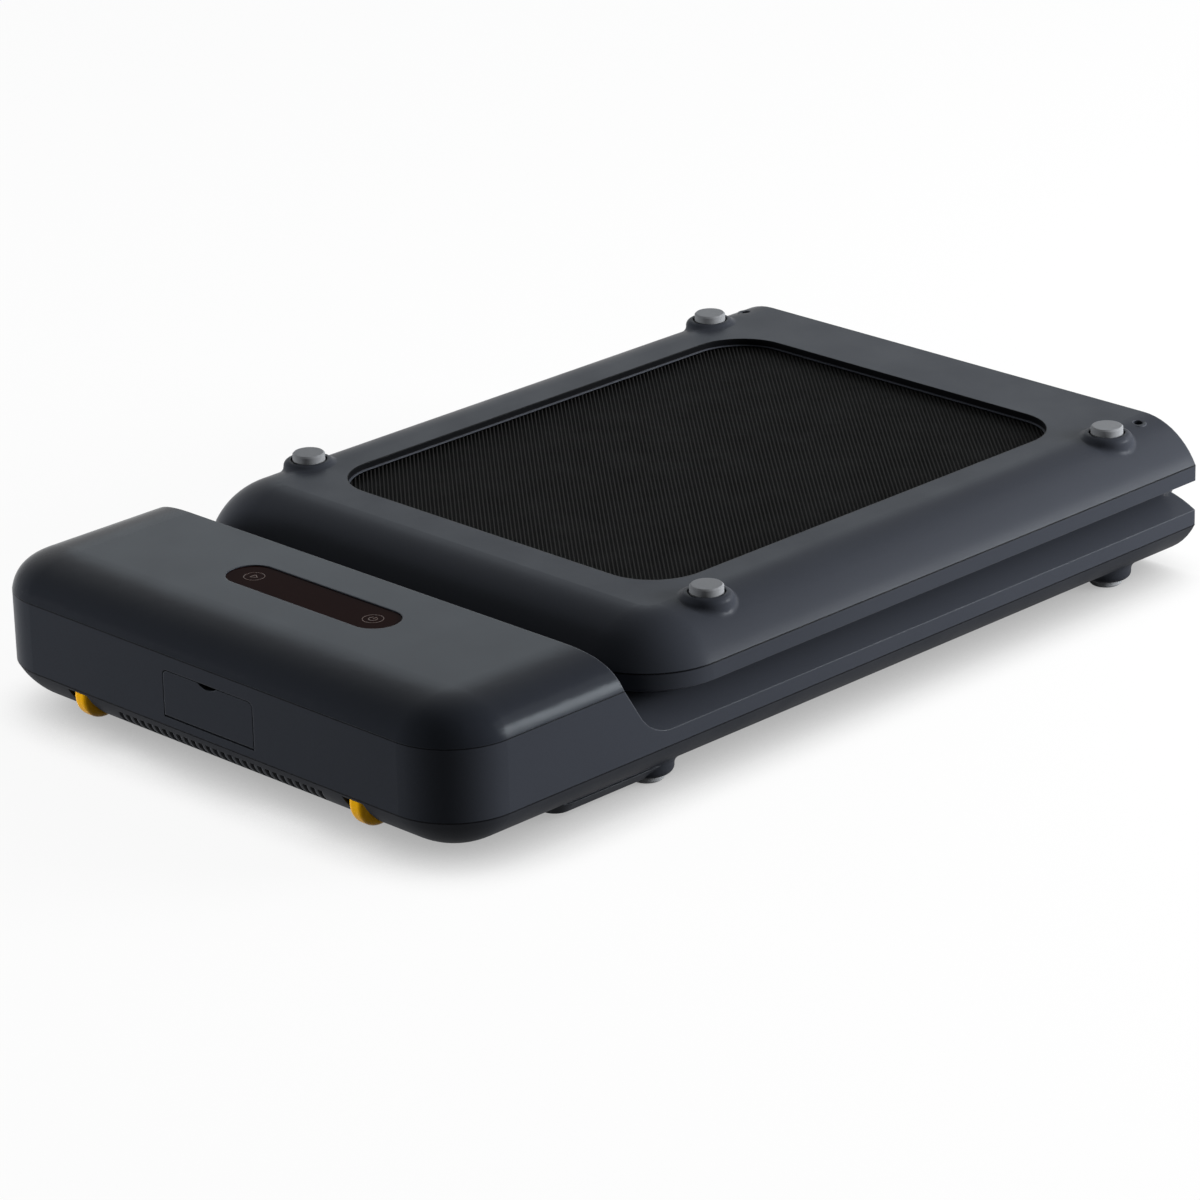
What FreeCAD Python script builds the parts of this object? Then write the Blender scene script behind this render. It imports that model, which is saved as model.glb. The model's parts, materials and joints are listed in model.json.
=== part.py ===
import FreeCAD, Part
import math
import os

os.makedirs("parts", exist_ok=True)
V = FreeCAD.Vector

# Folding walking pad, shown folded: the rear half lies upside down on the front half.
# X is across the pad, +Y points to the hinge end, the floor is z = 0.
# A distance "from the hinge" runs from the hinge axis towards the console or the tail.

# Overall sizes
pad_width = 518.0
front_length = 825.0          # hinge axis to console front
fold_height = 67.0            # floor to the plane on which the halves meet
end_gap = 1.0                 # between the two halves when unfolded
rail_gap = 1.2                # between the two halves' rails when folded
wall = 3.0                    # moulded covers
seat_gap = 0.3                # between pieces that seat on each other
run_gap = 0.05                # round a shaft that turns

# Cross-section of a half
underside_height = 8.5        # floor to the flat underside
seam_height = 41.5            # pan meets rail
crease_height = 54.5          # rail's outer top edge
shoulder_inset = 54.0         # width of the rounded underside shoulder
rail_width = 56.0             # outline to the rail's inner edge
rail_flat = 9.0               # level strip along the rail's inner edge
front_corner = 56.0
tail_corner = 66.0

# Console
console_height = 125.0
console_seam = 98.6
cover_shoulder = 54.0         # width of the top cover's rounded edge
cover_edge_lean = 4.0         # the edge curve's two control points
cover_edge_rise = 18.0
cover_crown_inset = 17.0
console_depth = 223.5         # console front to the foot of its back face
tail_reach = 23.5             # the tail passes the foot of the back face by this
back_toe_radius = 40.0
back_slope = 58.0             # degrees, back face above its foot
cover_back_lean = 8.7         # the top cover's back edge leans forward by this

# Walking belt and its rollers
belt_edge_gap = 3.0           # belt edge to rail
belt_thickness = 2.0
belt_drop = 1.5               # fold plane to the walking face
belt_return = 50.6            # fold plane to the return run's outer face
crossing_drop = 6.0           # fold plane to the return run's inner face at the hinge
front_roller_back = 160.0     # console front to roller axis
rear_roller_back = 40.0       # tail end to roller axis
idler_at = 50.0               # distances from the hinge
guide_at = 14.0
idler_wrap = 10.0             # radius at the belt
guide_wrap = 8.0
roller_tube_wall = 3.0
roller_axle_radius = 6.0
roller_overhang = 2.0         # roller past the belt's edge
bearing_width = 9.0
bearing_radius = 14.0
stub_radius = 4.0

# Steel chassis, deck and hinge
tube_gap = 6.0                # belt edge to side tube
tube_width = 25.0
tube_low = 24.0
tube_high = 47.0
tube_wall = 2.5
tube_hinge_end = 12.0         # distances from the hinge
front_tube_gap = 33.0         # roller axis to the tube's end
rear_tube_gap = 13.0
beam_width = 36.0
beam_count = 3
first_beam_at = 150.0
last_beam_gap = 62.0          # tube's end to the last beam
plate_thickness = 4.0
deck_thickness = 12.0
deck_ledge = 7.5              # deck edge over the side tube
deck_hinge_end = 30.0
cushion_length = 40.0
cushion_corner = 2.5
cushion_count = 4
first_cushion_at = 90.0
last_cushion_gap = 22.0
hinge_leaf_gap = 2.0          # deck edge to hinge leaf
hinge_leaf_width = 15.0
hinge_leaf_length = 70.0
knuckle_radius = 7.5
knuckle_width = 7.0
knuckle_gap = 0.3
hinge_pin_radius = 3.5

# Underside: window, feet, screws, wheels and vents
window_inset = 76.0           # outline to the window's long edge
window_hinge_edge = 66.0
window_tail_margin = 85.0     # tail end to the window's far edge
window_corner = 46.0
window_collar = 2.5
window_lip = 1.2
collar_belt_gap = 1.2
foot_radius = 13.0
foot_inset = 40.4
foot_hinge_at = 63.0
foot_tail_back = 102.0        # tail end to foot
foot_front_back = 235.0       # console front to foot
boss_drop = 2.75              # boss rim below the flat underside
boss_radius = 20.5
boss_height = 26.0
boss_round = 5.0              # rim of the boss
boss_blend = 5.0              # fillet from boss to cover
foot_recess = 3.3
foot_ring_gap = 1.6
foot_chamfer = 1.2
foot_stud_radius = 3.0
fairing_back = 120.0          # console front to the fairing's tip
fairing_rim = 12.0
fairing_flare = 8.0
fairing_height = 11.0
screw_inset = 43.0
screw_at = 21.5
screw_head_radius = 3.8
screw_radius = 2.0
wheel_inset = 106.0
wheel_radius = 19.5
wheel_width = 18.0
wheel_edge = 6.5
wheel_front_gap = 22.5        # console front to the wheel's axis
wheel_height = 33.8
wheel_axle_radius = 3.0
wheel_room = 2.2
vent_count = 28
vent_pitch = 8.2
vent_width = 4.8
vent_low = 20.0
vent_high = 35.0
vent_slant = 9.0

# Display, door, inlet and switch
display_length = 176.0
display_width = 40.0
display_back = 107.5          # console front to the display's middle
display_recess = 0.8
lens_flange = 3.0
lens_thickness = 2.0
board_thickness = 1.6
door_width = 100.0
door_low = 48.5
door_high = 86.5
door_corner = 5.0
door_gap = 0.7
door_thickness = 3.0
door_knuckle = 2.5
door_set_back = 0.2           # knuckle behind the door's face
door_pin_radius = 1.2
finger_notch_radius = 18.0
finger_notch_depth = 3.2
bay_depth = 40.0
bay_wall = 2.0
bay_ear = 6.0
inlet_margin = 26.0           # bay's side to the inlet's middle
inlet_width = 40.0
inlet_height = 28.0
socket_width = 24.5
socket_height = 16.5
socket_depth = 17.0
inlet_body_depth = 24.0
pin_length = 14.0
switch_margin = 23.0          # bay's side to the switch's middle
switch_width = 22.0
switch_height = 30.0
switch_depth = 20.0
rocker_width = 15.0
rocker_height = 22.0
rocker_tilt = 8.0

# Drive
motor_gap = 17.0              # motor to its pulley
motor_length = 140.0
motor_radius = 36.0
motor_headroom = 17.0         # console's top to motor
motor_rib = 1.5               # cooling ribs round the can
motor_belt_gap = 1.1093       # walking belt to motor
saddle_width = 57.6
motor_shaft_radius = 6.0
motor_pulley_radius = 13.0
pulley_gap = 7.0              # belt edge to pulley
pulley_width = 15.0
roller_pulley_radius = 20.0
ribbed_belt_thickness = 3.0
control_length = 135.0
control_depth = 80.0
control_back = 90.0
control_standoff = 8.0
fin_count = 9
fin_height = 22.0
fin_thickness = 2.0
sink_margin = 10.0
capacitor_radius = 9.0
capacitor_height = 34.0
capacitor_places = (27.0, 54.0)
relay_length = 33.0
relay_width = 22.0
relay_height = 22.0
relay_inset = 10.0
socket_pins = ((-7.0, -2.0), (7.0, -2.0), (0.0, 2.0))
pin_thickness = 2.0
pin_width = 4.0
first_bumper_at = 140.0
last_bumper_back = 85.0       # tail end to the last bumper
bumper_inset = 5.0            # rail's inner edge to bumper
bumper_radius = 4.5
bumper_stem = 2.5
bolt_radius = 2.5
bolt_head = 4.5

half_width = pad_width / 2
back_toe = front_length - console_depth
rear_length = back_toe + tail_reach
belt_width = pad_width - 2 * (rail_width + belt_edge_gap)
tube_inner_x = belt_width / 2 + tube_gap
deck_width = 2 * (tube_inner_x + deck_ledge)
hinge_leaf_x = deck_width / 2 + hinge_leaf_gap
window_half_width = half_width - window_inset
window_far_edge = rear_length - window_tail_margin
foot_x = half_width - foot_inset
foot_tail_at = rear_length - foot_tail_back
foot_front_at = front_length - foot_front_back
fairing_end = front_length - fairing_back
screw_x = half_width - screw_inset
wheel_x = half_width - wheel_inset
display_at = front_length - display_back
front_roller_at = front_length - front_roller_back
rear_roller_at = rear_length - rear_roller_back
front_tube_end = front_roller_at - front_tube_gap
rear_tube_end = rear_roller_at - rear_tube_gap
pulley_x = belt_width / 2 + pulley_gap
motor_x0 = pulley_x - motor_gap - motor_length
inlet_x = inlet_margin - door_width / 2
switch_x = door_width / 2 - switch_margin
control_x0 = -belt_width / 2 - belt_edge_gap
control_at = front_length - control_back
bumper_x = half_width - rail_width + bumper_inset
bumper_places = (first_bumper_at, rear_length - last_bumper_back)
bolt_x = tube_inner_x + plate_thickness + bolt_head + seat_gap
nose = crossing_drop + belt_thickness
hinge_y = (front_length - nose) / 2
rail_height = fold_height - rail_gap / 2
shoulder_drop = seam_height - underside_height
shoulder_radius = (shoulder_inset ** 2 + shoulder_drop ** 2) / (2 * shoulder_drop)
rail_run = rail_width - rail_flat
rail_rise = rail_height - crease_height
rail_radius = (rail_run ** 2 + rail_rise ** 2) / (2 * rail_rise)
belt_top = fold_height - belt_drop
belt_inner_top = belt_top - belt_thickness
belt_low = fold_height - belt_return
belt_inner_low = belt_low + belt_thickness
roller_height = (belt_inner_top + belt_inner_low) / 2
roller_wrap = (belt_inner_top - belt_inner_low) / 2
roller_radius = roller_wrap - seat_gap
motor_height = console_height - motor_headroom - motor_radius
motor_apart = roller_wrap + belt_thickness + motor_belt_gap + motor_rib + motor_radius
motor_at = front_roller_at + math.sqrt(motor_apart ** 2 - (motor_height - roller_height) ** 2)
crossing_inner = fold_height - crossing_drop
idler_height = belt_inner_low + idler_wrap
guide_height = crossing_inner - belt_thickness - guide_wrap
deck_top = belt_inner_top - seat_gap
tube_outer_x = tube_inner_x + tube_width
half_end = end_gap / 2
boss_low = underside_height - boss_drop
back_angle = math.radians(back_slope)
back_line_at = back_toe + back_toe_radius * math.sin(back_angle)
back_line_height = crease_height + back_toe_radius * (1 - math.cos(back_angle))
back_seam_at = back_line_at + (console_seam - back_line_height) / math.tan(back_angle)
cover_back_at = back_seam_at + cover_back_lean
wheel_at = front_length - wheel_front_gap
knuckle_step = (hinge_leaf_width - knuckle_width) / 2


def y_at(distance):
    return hinge_y - distance


def spread(first, last, count):
    return [first + (last - first) * index / (count - 1) for index in range(count)]


def box(x0, x1, y0, y1, z0, z1):
    low = V(min(x0, x1), min(y0, y1), min(z0, z1))
    return Part.makeBox(abs(x1 - x0), abs(y1 - y0), abs(z1 - z0), low)


def rod_x(y, z, radius, x0, x1):
    return Part.makeCylinder(radius, x1 - x0, V(x0, y, z), V(1, 0, 0))


def rod_y(x, z, radius, y0, y1):
    return Part.makeCylinder(radius, y1 - y0, V(x, y0, z), V(0, 1, 0))


def rod_z(x, y, radius, z0, z1):
    return Part.makeCylinder(radius, z1 - z0, V(x, y, z0), V(0, 0, 1))


def prism_x(edges, x0, x1):
    face = Part.Face(Part.Wire(edges))
    solid = face.extrude(V(x1 - x0, 0, 0))
    solid.translate(V(x0, 0, 0))
    return solid


def polygon_x(points, x0, x1):
    corners = [V(0, y, z) for y, z in points]
    return prism_x(Part.makePolygon(corners + corners[:1]).Edges, x0, x1)


def fused(shapes):
    return shapes[0].multiFuse(shapes[1:]).removeSplitter()


def mirrored_x(shape):
    return shape.mirror(V(0, 0, 0), V(1, 0, 0))


def pair(shape):
    return Part.makeCompound([shape, mirrored_x(shape)])


def fold_over(shape):
    # The folded rear half is the front half's build position turned over about the fold plane.
    return shape.mirror(V(0, 0, fold_height), V(0, 0, 1))


def save(name, shape):
    shape.exportStep("parts/" + name + ".step")


def section(points):
    # Face in the plane y = 0 from (inset from the outline, height) points and curves.
    edges = []
    for start, end in zip(points, points[1:] + points[:1]):
        edges.append(start[2](start, end) if len(start) > 2 else line_at(start, end))
    return Part.Face(Part.Wire(edges))


def at_inset(inset, height):
    return V(half_width - inset, 0, height)


def line_at(start, end):
    return Part.LineSegment(at_inset(start[0], start[1]), at_inset(end[0], end[1])).toShape()


def arc_about(centre, radius):
    # Arc from one section point to the next, bulging away from its centre.
    def make(start, end):
        mid_x = (start[0] + end[0]) / 2 - centre[0]
        mid_z = (start[1] + end[1]) / 2 - centre[1]
        reach = radius / math.hypot(mid_x, mid_z)
        middle = at_inset(centre[0] + mid_x * reach, centre[1] + mid_z * reach)
        return Part.Arc(at_inset(*start[:2]), middle, at_inset(*end[:2])).toShape()
    return make


def bezier_by(first, second):
    def make(start, end):
        curve = Part.BezierCurve()
        curve.setPoles([at_inset(*p[:2]) for p in (start, first, second, end)])
        return curve.toShape()
    return make


def u_rim(face, corner, start, far):
    # Carries a section along one side, round the far end's corners and back.
    turn_x = half_width - corner
    turn_y = y_at(far - corner)
    side = face.translated(V(0, y_at(start), 0)).extrude(V(0, turn_y - y_at(start), 0))
    at_turn = face.translated(V(0, turn_y, 0))
    turn = at_turn.revolve(V(turn_x, turn_y, 0), V(0, 0, 1), -90)
    at_turn.rotate(V(turn_x, turn_y, 0), V(0, 0, 1), -90)
    across = at_turn.extrude(V(-2 * turn_x, 0, 0))
    return fused([side, turn, across, mirrored_x(side), mirrored_x(turn)])


def plan_prism(inset, corner, start, far, z0, z1):
    # Inside of the outline at an inset: square at the hinge end, rounded at the far end.
    x = half_width - inset
    radius = corner - inset
    near = y_at(start)
    end = y_at(far - inset)
    bend = radius * (1 - math.sqrt(0.5))
    right = [V(x, near, z0), V(x, end + radius, z0)]
    arc_right = Part.Arc(right[1], V(x - bend, end + bend, z0), V(x - radius, end, z0))
    arc_left = Part.Arc(V(radius - x, end, z0), V(bend - x, end + bend, z0), V(-x, end + radius, z0))
    edges = [
        Part.LineSegment(right[0], right[1]).toShape(),
        arc_right.toShape(),
        Part.LineSegment(V(x - radius, end, z0), V(radius - x, end, z0)).toShape(),
        arc_left.toShape(),
        Part.LineSegment(V(-x, end + radius, z0), V(-x, near, z0)).toShape(),
        Part.LineSegment(V(-x, near, z0), right[0]).toShape(),
    ]
    return Part.Face(Part.Wire(edges)).extrude(V(0, 0, z1 - z0))


def rounded_plate(x_half, y0, y1, corner, z0, z1):
    plate = box(-x_half, x_half, y0, y1, z0, z1)
    upright = [e for e in plate.Edges if abs(e.BoundBox.ZLength - (z1 - z0)) < 1e-6]
    return plate.makeFillet(corner, upright)


def stadium(x, y0, y1, radius, z):
    # Closed wire of a slot-shaped outline that runs along Y.
    points = [V(x - radius, y0, z), V(x, y0 - radius, z), V(x + radius, y0, z)]
    tops = [V(x + radius, y1, z), V(x, y1 + radius, z), V(x - radius, y1, z)]
    return Part.Wire([
        Part.Arc(*points).toShape(),
        Part.LineSegment(points[2], tops[0]).toShape(),
        Part.Arc(*tops).toShape(),
        Part.LineSegment(tops[2], points[0]).toShape(),
    ])


# Bottom pans

def shoulder_body(corner, start, far, inward):
    # Solid under the seam, shrunk by a wall thickness to make the hollow.
    centre = (shoulder_inset, underside_height + shoulder_radius)
    radius = shoulder_radius - inward
    edge = shoulder_inset - math.sqrt(radius ** 2 - (centre[1] - seam_height) ** 2)
    floor = underside_height + inward
    face = section([
        (edge, seam_height),
        (shoulder_inset, seam_height),
        (shoulder_inset, floor, arc_about(centre, radius)),
    ])
    core = plan_prism(shoulder_inset, corner, start, far, floor, seam_height)
    return fused([u_rim(face, corner, start, far), core])


def foot_boss(at):
    boss = rod_z(foot_x, y_at(at), boss_radius, boss_low, boss_low + boss_height)
    rim = [e for e in boss.Edges if e.BoundBox.ZMax < boss_low + 1e-3]
    return boss.makeFillet(boss_round, rim)


def lies_on(edge, line):
    # Tells whether an edge runs along a line.
    spots = spread(edge.FirstParameter, edge.LastParameter, 5)
    return all(line.distToShape(Part.Vertex(edge.valueAt(t)))[0] < 1e-3 for t in spots)


def blended_boss(body, at, side):
    # Adds one boss and rounds the corner where it leaves the cover.
    boss = foot_boss(at) if side > 0 else mirrored_x(foot_boss(at))
    line = body.section(boss)
    body = body.fuse(boss)
    near = [e for e in body.Edges if e.BoundBox.intersect(boss.BoundBox)]
    return body.makeFillet(boss_blend, [e for e in near if lies_on(e, line)])


def foot_socket(at):
    socket = rod_z(foot_x, y_at(at), foot_radius + foot_ring_gap, boss_low, boss_low + foot_recess)
    return socket.fuse(rod_z(foot_x, y_at(at), foot_stud_radius + seat_gap, boss_low, tube_low))


def window_cut(grow, z0, z1):
    near = y_at(window_hinge_edge) + grow
    far = y_at(window_far_edge) - grow
    return rounded_plate(window_half_width + grow, far, near, window_corner + grow, z0, z1)


def window_wall():
    top = belt_low - collar_belt_gap
    collar = window_cut(window_collar, underside_height, top).cut(window_cut(0, 0, top))
    lip = window_cut(window_collar, top - window_lip, top)
    return collar.fuse(lip.cut(window_cut(-window_lip, 0, top)))


def screw_boss():
    radius = screw_head_radius + wall
    return rod_z(screw_x, y_at(screw_at), radius, underside_height + wall / 2, tube_low - seat_gap)


def screw_hole():
    seat = tube_low - 2 * wall
    head = rod_z(screw_x, y_at(screw_at), screw_head_radius + seat_gap, 0, seat)
    return head.fuse(rod_z(screw_x, y_at(screw_at), screw_radius + seat_gap, 0, tube_low))


def bottom_pan(corner, far, feet, extra_bosses):
    outside = shoulder_body(corner, half_end, far, 0)
    for at in feet:
        outside = blended_boss(outside, at, 1)
        outside = blended_boss(outside, at, -1)
    outside = fused([outside] + extra_bosses + [mirrored_x(b) for b in extra_bosses])
    lid = box(-pad_width, pad_width, y_at(far) - 1, hinge_y, seam_height, fold_height)
    inside = shoulder_body(corner, half_end + wall, far, wall)
    pan = outside.cut(fused([inside, lid])).cut(window_cut(0, 0, seam_height))
    pan = fused([pan, window_wall(), screw_boss(), mirrored_x(screw_boss())])
    holes = [foot_socket(at) for at in feet] + [screw_hole()]
    return pan.cut(fused(holes + [mirrored_x(h) for h in holes]))


def front_fairing():
    end = y_at(fairing_end - fairing_rim - fairing_flare)
    start = y_at(foot_front_at)
    low = stadium(foot_x, end, start, fairing_rim, underside_height - boss_drop / 2)
    high = stadium(foot_x, end, start, fairing_rim + fairing_flare, boss_low + fairing_height)
    return Part.makeLoft([low, high], True, True)


def wheel_arch():
    reach = wheel_width / 2 + wheel_room
    return rod_x(y_at(wheel_at), wheel_height, wheel_radius + wheel_room, wheel_x - reach, wheel_x + reach)


def wheel_ears():
    inner = wheel_width / 2 + seat_gap * 2
    ear_top = seam_height
    ears = []
    for side in (-1, 1):
        x0 = wheel_x + side * inner
        x1 = x0 + side * wall
        reach = wheel_axle_radius + wall
        ears.append(box(x0, x1, y_at(wheel_at) - reach, y_at(wheel_at) + reach, underside_height, ear_top))
    return ears


def vent_slots():
    slots = []
    for index in range(vent_count):
        x = (index - (vent_count - 1) / 2) * vent_pitch
        low = V(x - vent_slant / 2, y_at(front_length) - wall, vent_low)
        high = V(x + vent_slant / 2, y_at(front_length) - wall, vent_high)
        across = V(vent_width / 2, 0, 0)
        corners = [low - across, low + across, high + across, high - across]
        face = Part.Face(Part.makePolygon(corners + corners[:1]))
        slots.append(face.extrude(V(0, shoulder_inset / 2 + wall, 0)))
    return Part.makeCompound(slots)


def build_front_pan():
    pan = bottom_pan(front_corner, front_length, (foot_hinge_at, foot_front_at), [front_fairing()])
    pan = pan.cut(fused([wheel_arch(), mirrored_x(wheel_arch())]))
    hollow = shoulder_body(front_corner, half_end, front_length, 0)
    ears = [ear.common(hollow) for ear in wheel_ears()]
    pan = fused([pan] + ears + [mirrored_x(e) for e in ears])
    reach = wheel_width / 2 + 2 * seat_gap + wall
    bore = rod_x(y_at(wheel_at), wheel_height, wheel_axle_radius + run_gap, wheel_x - reach, wheel_x + reach)
    pan = pan.cut(fused([bore, mirrored_x(bore)]))
    save("front_bottom_pan", pan.cut(vent_slots()))


def build_rear_cover():
    cover = bottom_pan(tail_corner, rear_length, (foot_hinge_at, foot_tail_at), [])
    save("rear_bottom_cover", fold_over(cover))


# Rails and console body

def rail_section():
    centre = (rail_run, rail_height - rail_radius)
    inner_radius = rail_radius - wall
    inner_edge = centre[1] + math.sqrt(inner_radius ** 2 - (rail_run - wall) ** 2)
    return section([
        (0, seam_height),
        (0, crease_height, arc_about(centre, rail_radius)),
        (rail_run, rail_height),
        (rail_width, rail_height),
        (rail_width, rail_height - wall),
        (rail_run, rail_height - wall, arc_about(centre, inner_radius)),
        (wall, inner_edge),
        (wall, seam_height),
    ])


def rail_end_wall():
    # Closes the rail's hollow section at the hinge end.
    centre = (rail_run, rail_height - rail_radius)
    face = section([
        (wall / 2, seam_height),
        (wall / 2, crease_height - wall / 2, arc_about(centre, rail_radius - wall / 2)),
        (rail_run, rail_height - wall / 2),
        (rail_width, rail_height - wall / 2),
        (rail_width, seam_height),
    ])
    return face.translated(V(0, y_at(half_end), 0)).extrude(V(0, -wall, 0))


def hinge_notch():
    # Room for the hinge's knuckles and arms in a half's rail.
    x0 = hinge_leaf_x - 2 * seat_gap
    x1 = hinge_leaf_x + hinge_leaf_width + 2 * seat_gap
    reach = knuckle_radius + 3 * seat_gap
    arms = box(x0, x1, y_at(2 * knuckle_radius), hinge_y, tube_high - seat_gap, rail_height - wall)
    return fused([rod_x(hinge_y, fold_height, reach, x0, x1), arms])


def back_face_edges(offset):
    # Console back face in side view, from the rail up to the console's seam.
    radius = back_toe_radius + offset
    centre = V(0, y_at(back_toe), crease_height + back_toe_radius)
    toe = centre + V(0, 0, -radius)
    half = back_angle / 2
    middle = centre + V(0, -radius * math.sin(half), -radius * math.cos(half))
    bend = centre + V(0, -radius * math.sin(back_angle), -radius * math.cos(back_angle))
    run = (console_seam - bend.z) / math.sin(back_angle)
    top = bend + V(0, -run * math.cos(back_angle), run * math.sin(back_angle))
    arc = Part.Arc(toe, middle, bend).toShape()
    return toe, [arc, Part.LineSegment(bend, top).toShape()], top


def behind_back_face():
    # Everything above the rail crease on the hinge side of the back face.
    toe, edges, top = back_face_edges(0)
    near = V(0, hinge_y + 1, crease_height)
    corner = V(0, hinge_y + 1, console_seam)
    edges = edges + [
        Part.LineSegment(top, corner).toShape(),
        Part.LineSegment(corner, near).toShape(),
        Part.LineSegment(near, toe).toShape(),
    ]
    return prism_x(edges, -half_width - 1, half_width + 1)


def back_wall():
    toe, outer, top = back_face_edges(0)
    inner_toe, inner, inner_top = back_face_edges(wall)
    edges = outer + inner + [
        Part.LineSegment(toe, inner_toe).toShape(),
        Part.LineSegment(top, inner_top).toShape(),
    ]
    sheet = prism_x(Part.__sortEdges__(edges), -half_width, half_width)
    inner_rail = half_width - rail_width
    slot = box(-inner_rail, inner_rail, y_at(front_length), hinge_y, 0, fold_height + seat_gap)
    deck_side = deck_width / 2 + wall
    under_rail = box(-deck_side, deck_side, y_at(front_length), hinge_y, 0, rail_height - wall)
    return sheet.cut(fused([slot, under_rail]))


def build_front_frame():
    side_face = section([(0, seam_height), (0, console_seam), (wall, console_seam), (wall, seam_height)])
    walls = u_rim(side_face, front_corner, half_end, front_length).cut(behind_back_face())
    rail = rail_section().translated(V(0, y_at(half_end), 0))
    rail = rail.extrude(V(0, half_end - back_line_at, 0))
    rail = fused([rail, rail_end_wall()])
    inside = plan_prism(0, front_corner, half_end, front_length, seam_height, console_seam)
    body = fused([walls, rail, mirrored_x(rail), back_wall().common(inside)])
    notch = hinge_notch()
    body = body.cut(fused([notch, mirrored_x(notch)]))
    body = fused([body] + door_ears())
    body = body.cut(door_opening()).cut(door_pin(run_gap))
    for at in bumper_places:
        for x in (-bumper_x, bumper_x):
            body = body.cut(rod_z(x, y_at(at), bumper_stem + run_gap, seam_height, fold_height))
    save("front_body_frame", body)


def build_rear_frame():
    frame = u_rim(rail_section(), tail_corner, half_end, rear_length)
    frame = fused([frame, rail_end_wall(), mirrored_x(rail_end_wall())])
    notch = hinge_notch()
    frame = frame.cut(fused([notch, mirrored_x(notch)]))
    room = rear_roller_at + roller_wrap + belt_thickness + wall
    inner_rail = half_width - rail_width
    belt_room = box(-inner_rail, inner_rail, y_at(room), hinge_y, seam_height, fold_height)
    save("rear_body_frame", fold_over(frame.cut(belt_room)))


def build_fold_bumpers():
    cap_top = rail_height + rail_gap - seat_gap
    bumpers = []
    for at in bumper_places:
        for x in (-bumper_x, bumper_x):
            cap = rod_z(x, y_at(at), bumper_radius, rail_height, cap_top)
            bumpers.append(cap.fuse(rod_z(x, y_at(at), bumper_stem, rail_height - wall, rail_height)))
    save("fold_bumpers", Part.makeCompound(bumpers))


# Console top cover and display

def cover_body(inward, back_shift):
    top = console_height - inward
    edge = (cover_edge_lean + inward, console_seam + cover_edge_rise - inward / 2)
    crown = (cover_crown_inset + inward, top)
    face = section([
        (inward, console_seam, bezier_by(edge, crown)),
        (cover_shoulder, top),
        (cover_shoulder, console_seam),
    ])
    start = back_toe
    rim = u_rim(face, front_corner, start, front_length)
    core = plan_prism(cover_shoulder, front_corner, start, front_length, console_seam, top)
    body = fused([rim, core])
    lean = cover_back_lean / (console_height - console_seam)
    low = back_seam_at + back_shift - lean * wall
    high = cover_back_at + back_shift + lean * wall
    cut = polygon_x([
        (y_at(low), console_seam - wall),
        (y_at(high), console_height + wall),
        (hinge_y, console_height + wall),
        (hinge_y, console_seam - wall),
    ], -pad_width, pad_width)
    return body.cut(cut)


def display_slot(grow, z0, z1):
    length = display_length + 2 * grow
    width = display_width + 2 * grow
    y = y_at(display_at)
    return rounded_plate(length / 2, y - width / 2, y + width / 2, width / 2 - 0.01, z0, z1)


def build_console_cover():
    cover = cover_body(0, 0).cut(cover_body(wall, wall))
    cover = cover.cut(display_slot(0, console_seam, console_height + 1))
    save("console_top_cover", cover)


def build_display():
    under = console_height - wall - seat_gap
    face = console_height - display_recess
    lens = fused([display_slot(-seat_gap, under - lens_thickness, face),
                  display_slot(lens_flange, under - lens_thickness, under)])
    save("display_window", lens)
    board_top = under - lens_thickness - seat_gap
    board = display_slot(-lens_flange, board_top - board_thickness, board_top)
    save("display_board", board)


# Inlet door, bay, socket and switch

front_y = y_at(front_length)
door_pivot_y = front_y + door_knuckle + door_set_back
door_pivot_z = door_low + door_gap + door_knuckle
# The door's lower edge turns inside the gap under its knuckle.
door_lip = math.sqrt((door_knuckle + door_gap) ** 2 - (door_knuckle + door_set_back) ** 2) - run_gap


def door_opening():
    x = door_width / 2
    opening = box(-x, x, front_y - 1, front_y + wall + bay_ear, door_low, door_high)
    tops = [e for e in opening.Edges if e.BoundBox.YLength > wall and e.BoundBox.ZMin > door_high - 1e-6]
    return opening.makeFillet(door_corner, tops)


def door_ears():
    # Corner blocks behind the front wall: the lower two carry the door's pin.
    ears = []
    for side in (-1, 1):
        x0 = side * door_width / 2
        x1 = x0 + side * bay_ear
        low = box(x0, x1, front_y, front_y + 2 * wall, door_low - bay_wall, door_pivot_z + bay_ear)
        high = box(x0, x1, front_y, front_y + 2 * wall, door_high - bay_ear, door_high)
        ears += [low, high]
    return ears


def door_pin(grow):
    end = door_width / 2 + bay_ear / 2 + grow
    return rod_x(door_pivot_y, door_pivot_z, door_pin_radius + grow, -end, end)


def build_door():
    x = door_width / 2 - door_gap
    foot_z = door_pivot_z - door_lip
    panel = box(-x, x, front_y, front_y + door_thickness, foot_z, door_high - door_gap)
    tops = [e for e in panel.Edges if e.BoundBox.YLength > wall / 2 and e.BoundBox.ZMin > door_pivot_z + 1]
    panel = panel.makeFillet(door_corner - door_gap, tops)
    knuckle = rod_x(door_pivot_y, door_pivot_z, door_knuckle, -x, x)
    notch_z = door_high - door_gap + finger_notch_radius - finger_notch_depth
    notch = rod_y(0, notch_z, finger_notch_radius, front_y - 1, front_y + door_thickness + 1)
    door = fused([panel, knuckle]).cut(notch).cut(door_pin(run_gap))
    save("inlet_door", door)
    save("door_hinge_pin", door_pin(0))


bay_front = front_y + 2 * wall + seat_gap
bay_back = bay_front + bay_depth
inlet_mid = (door_low + door_high) / 2


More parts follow.
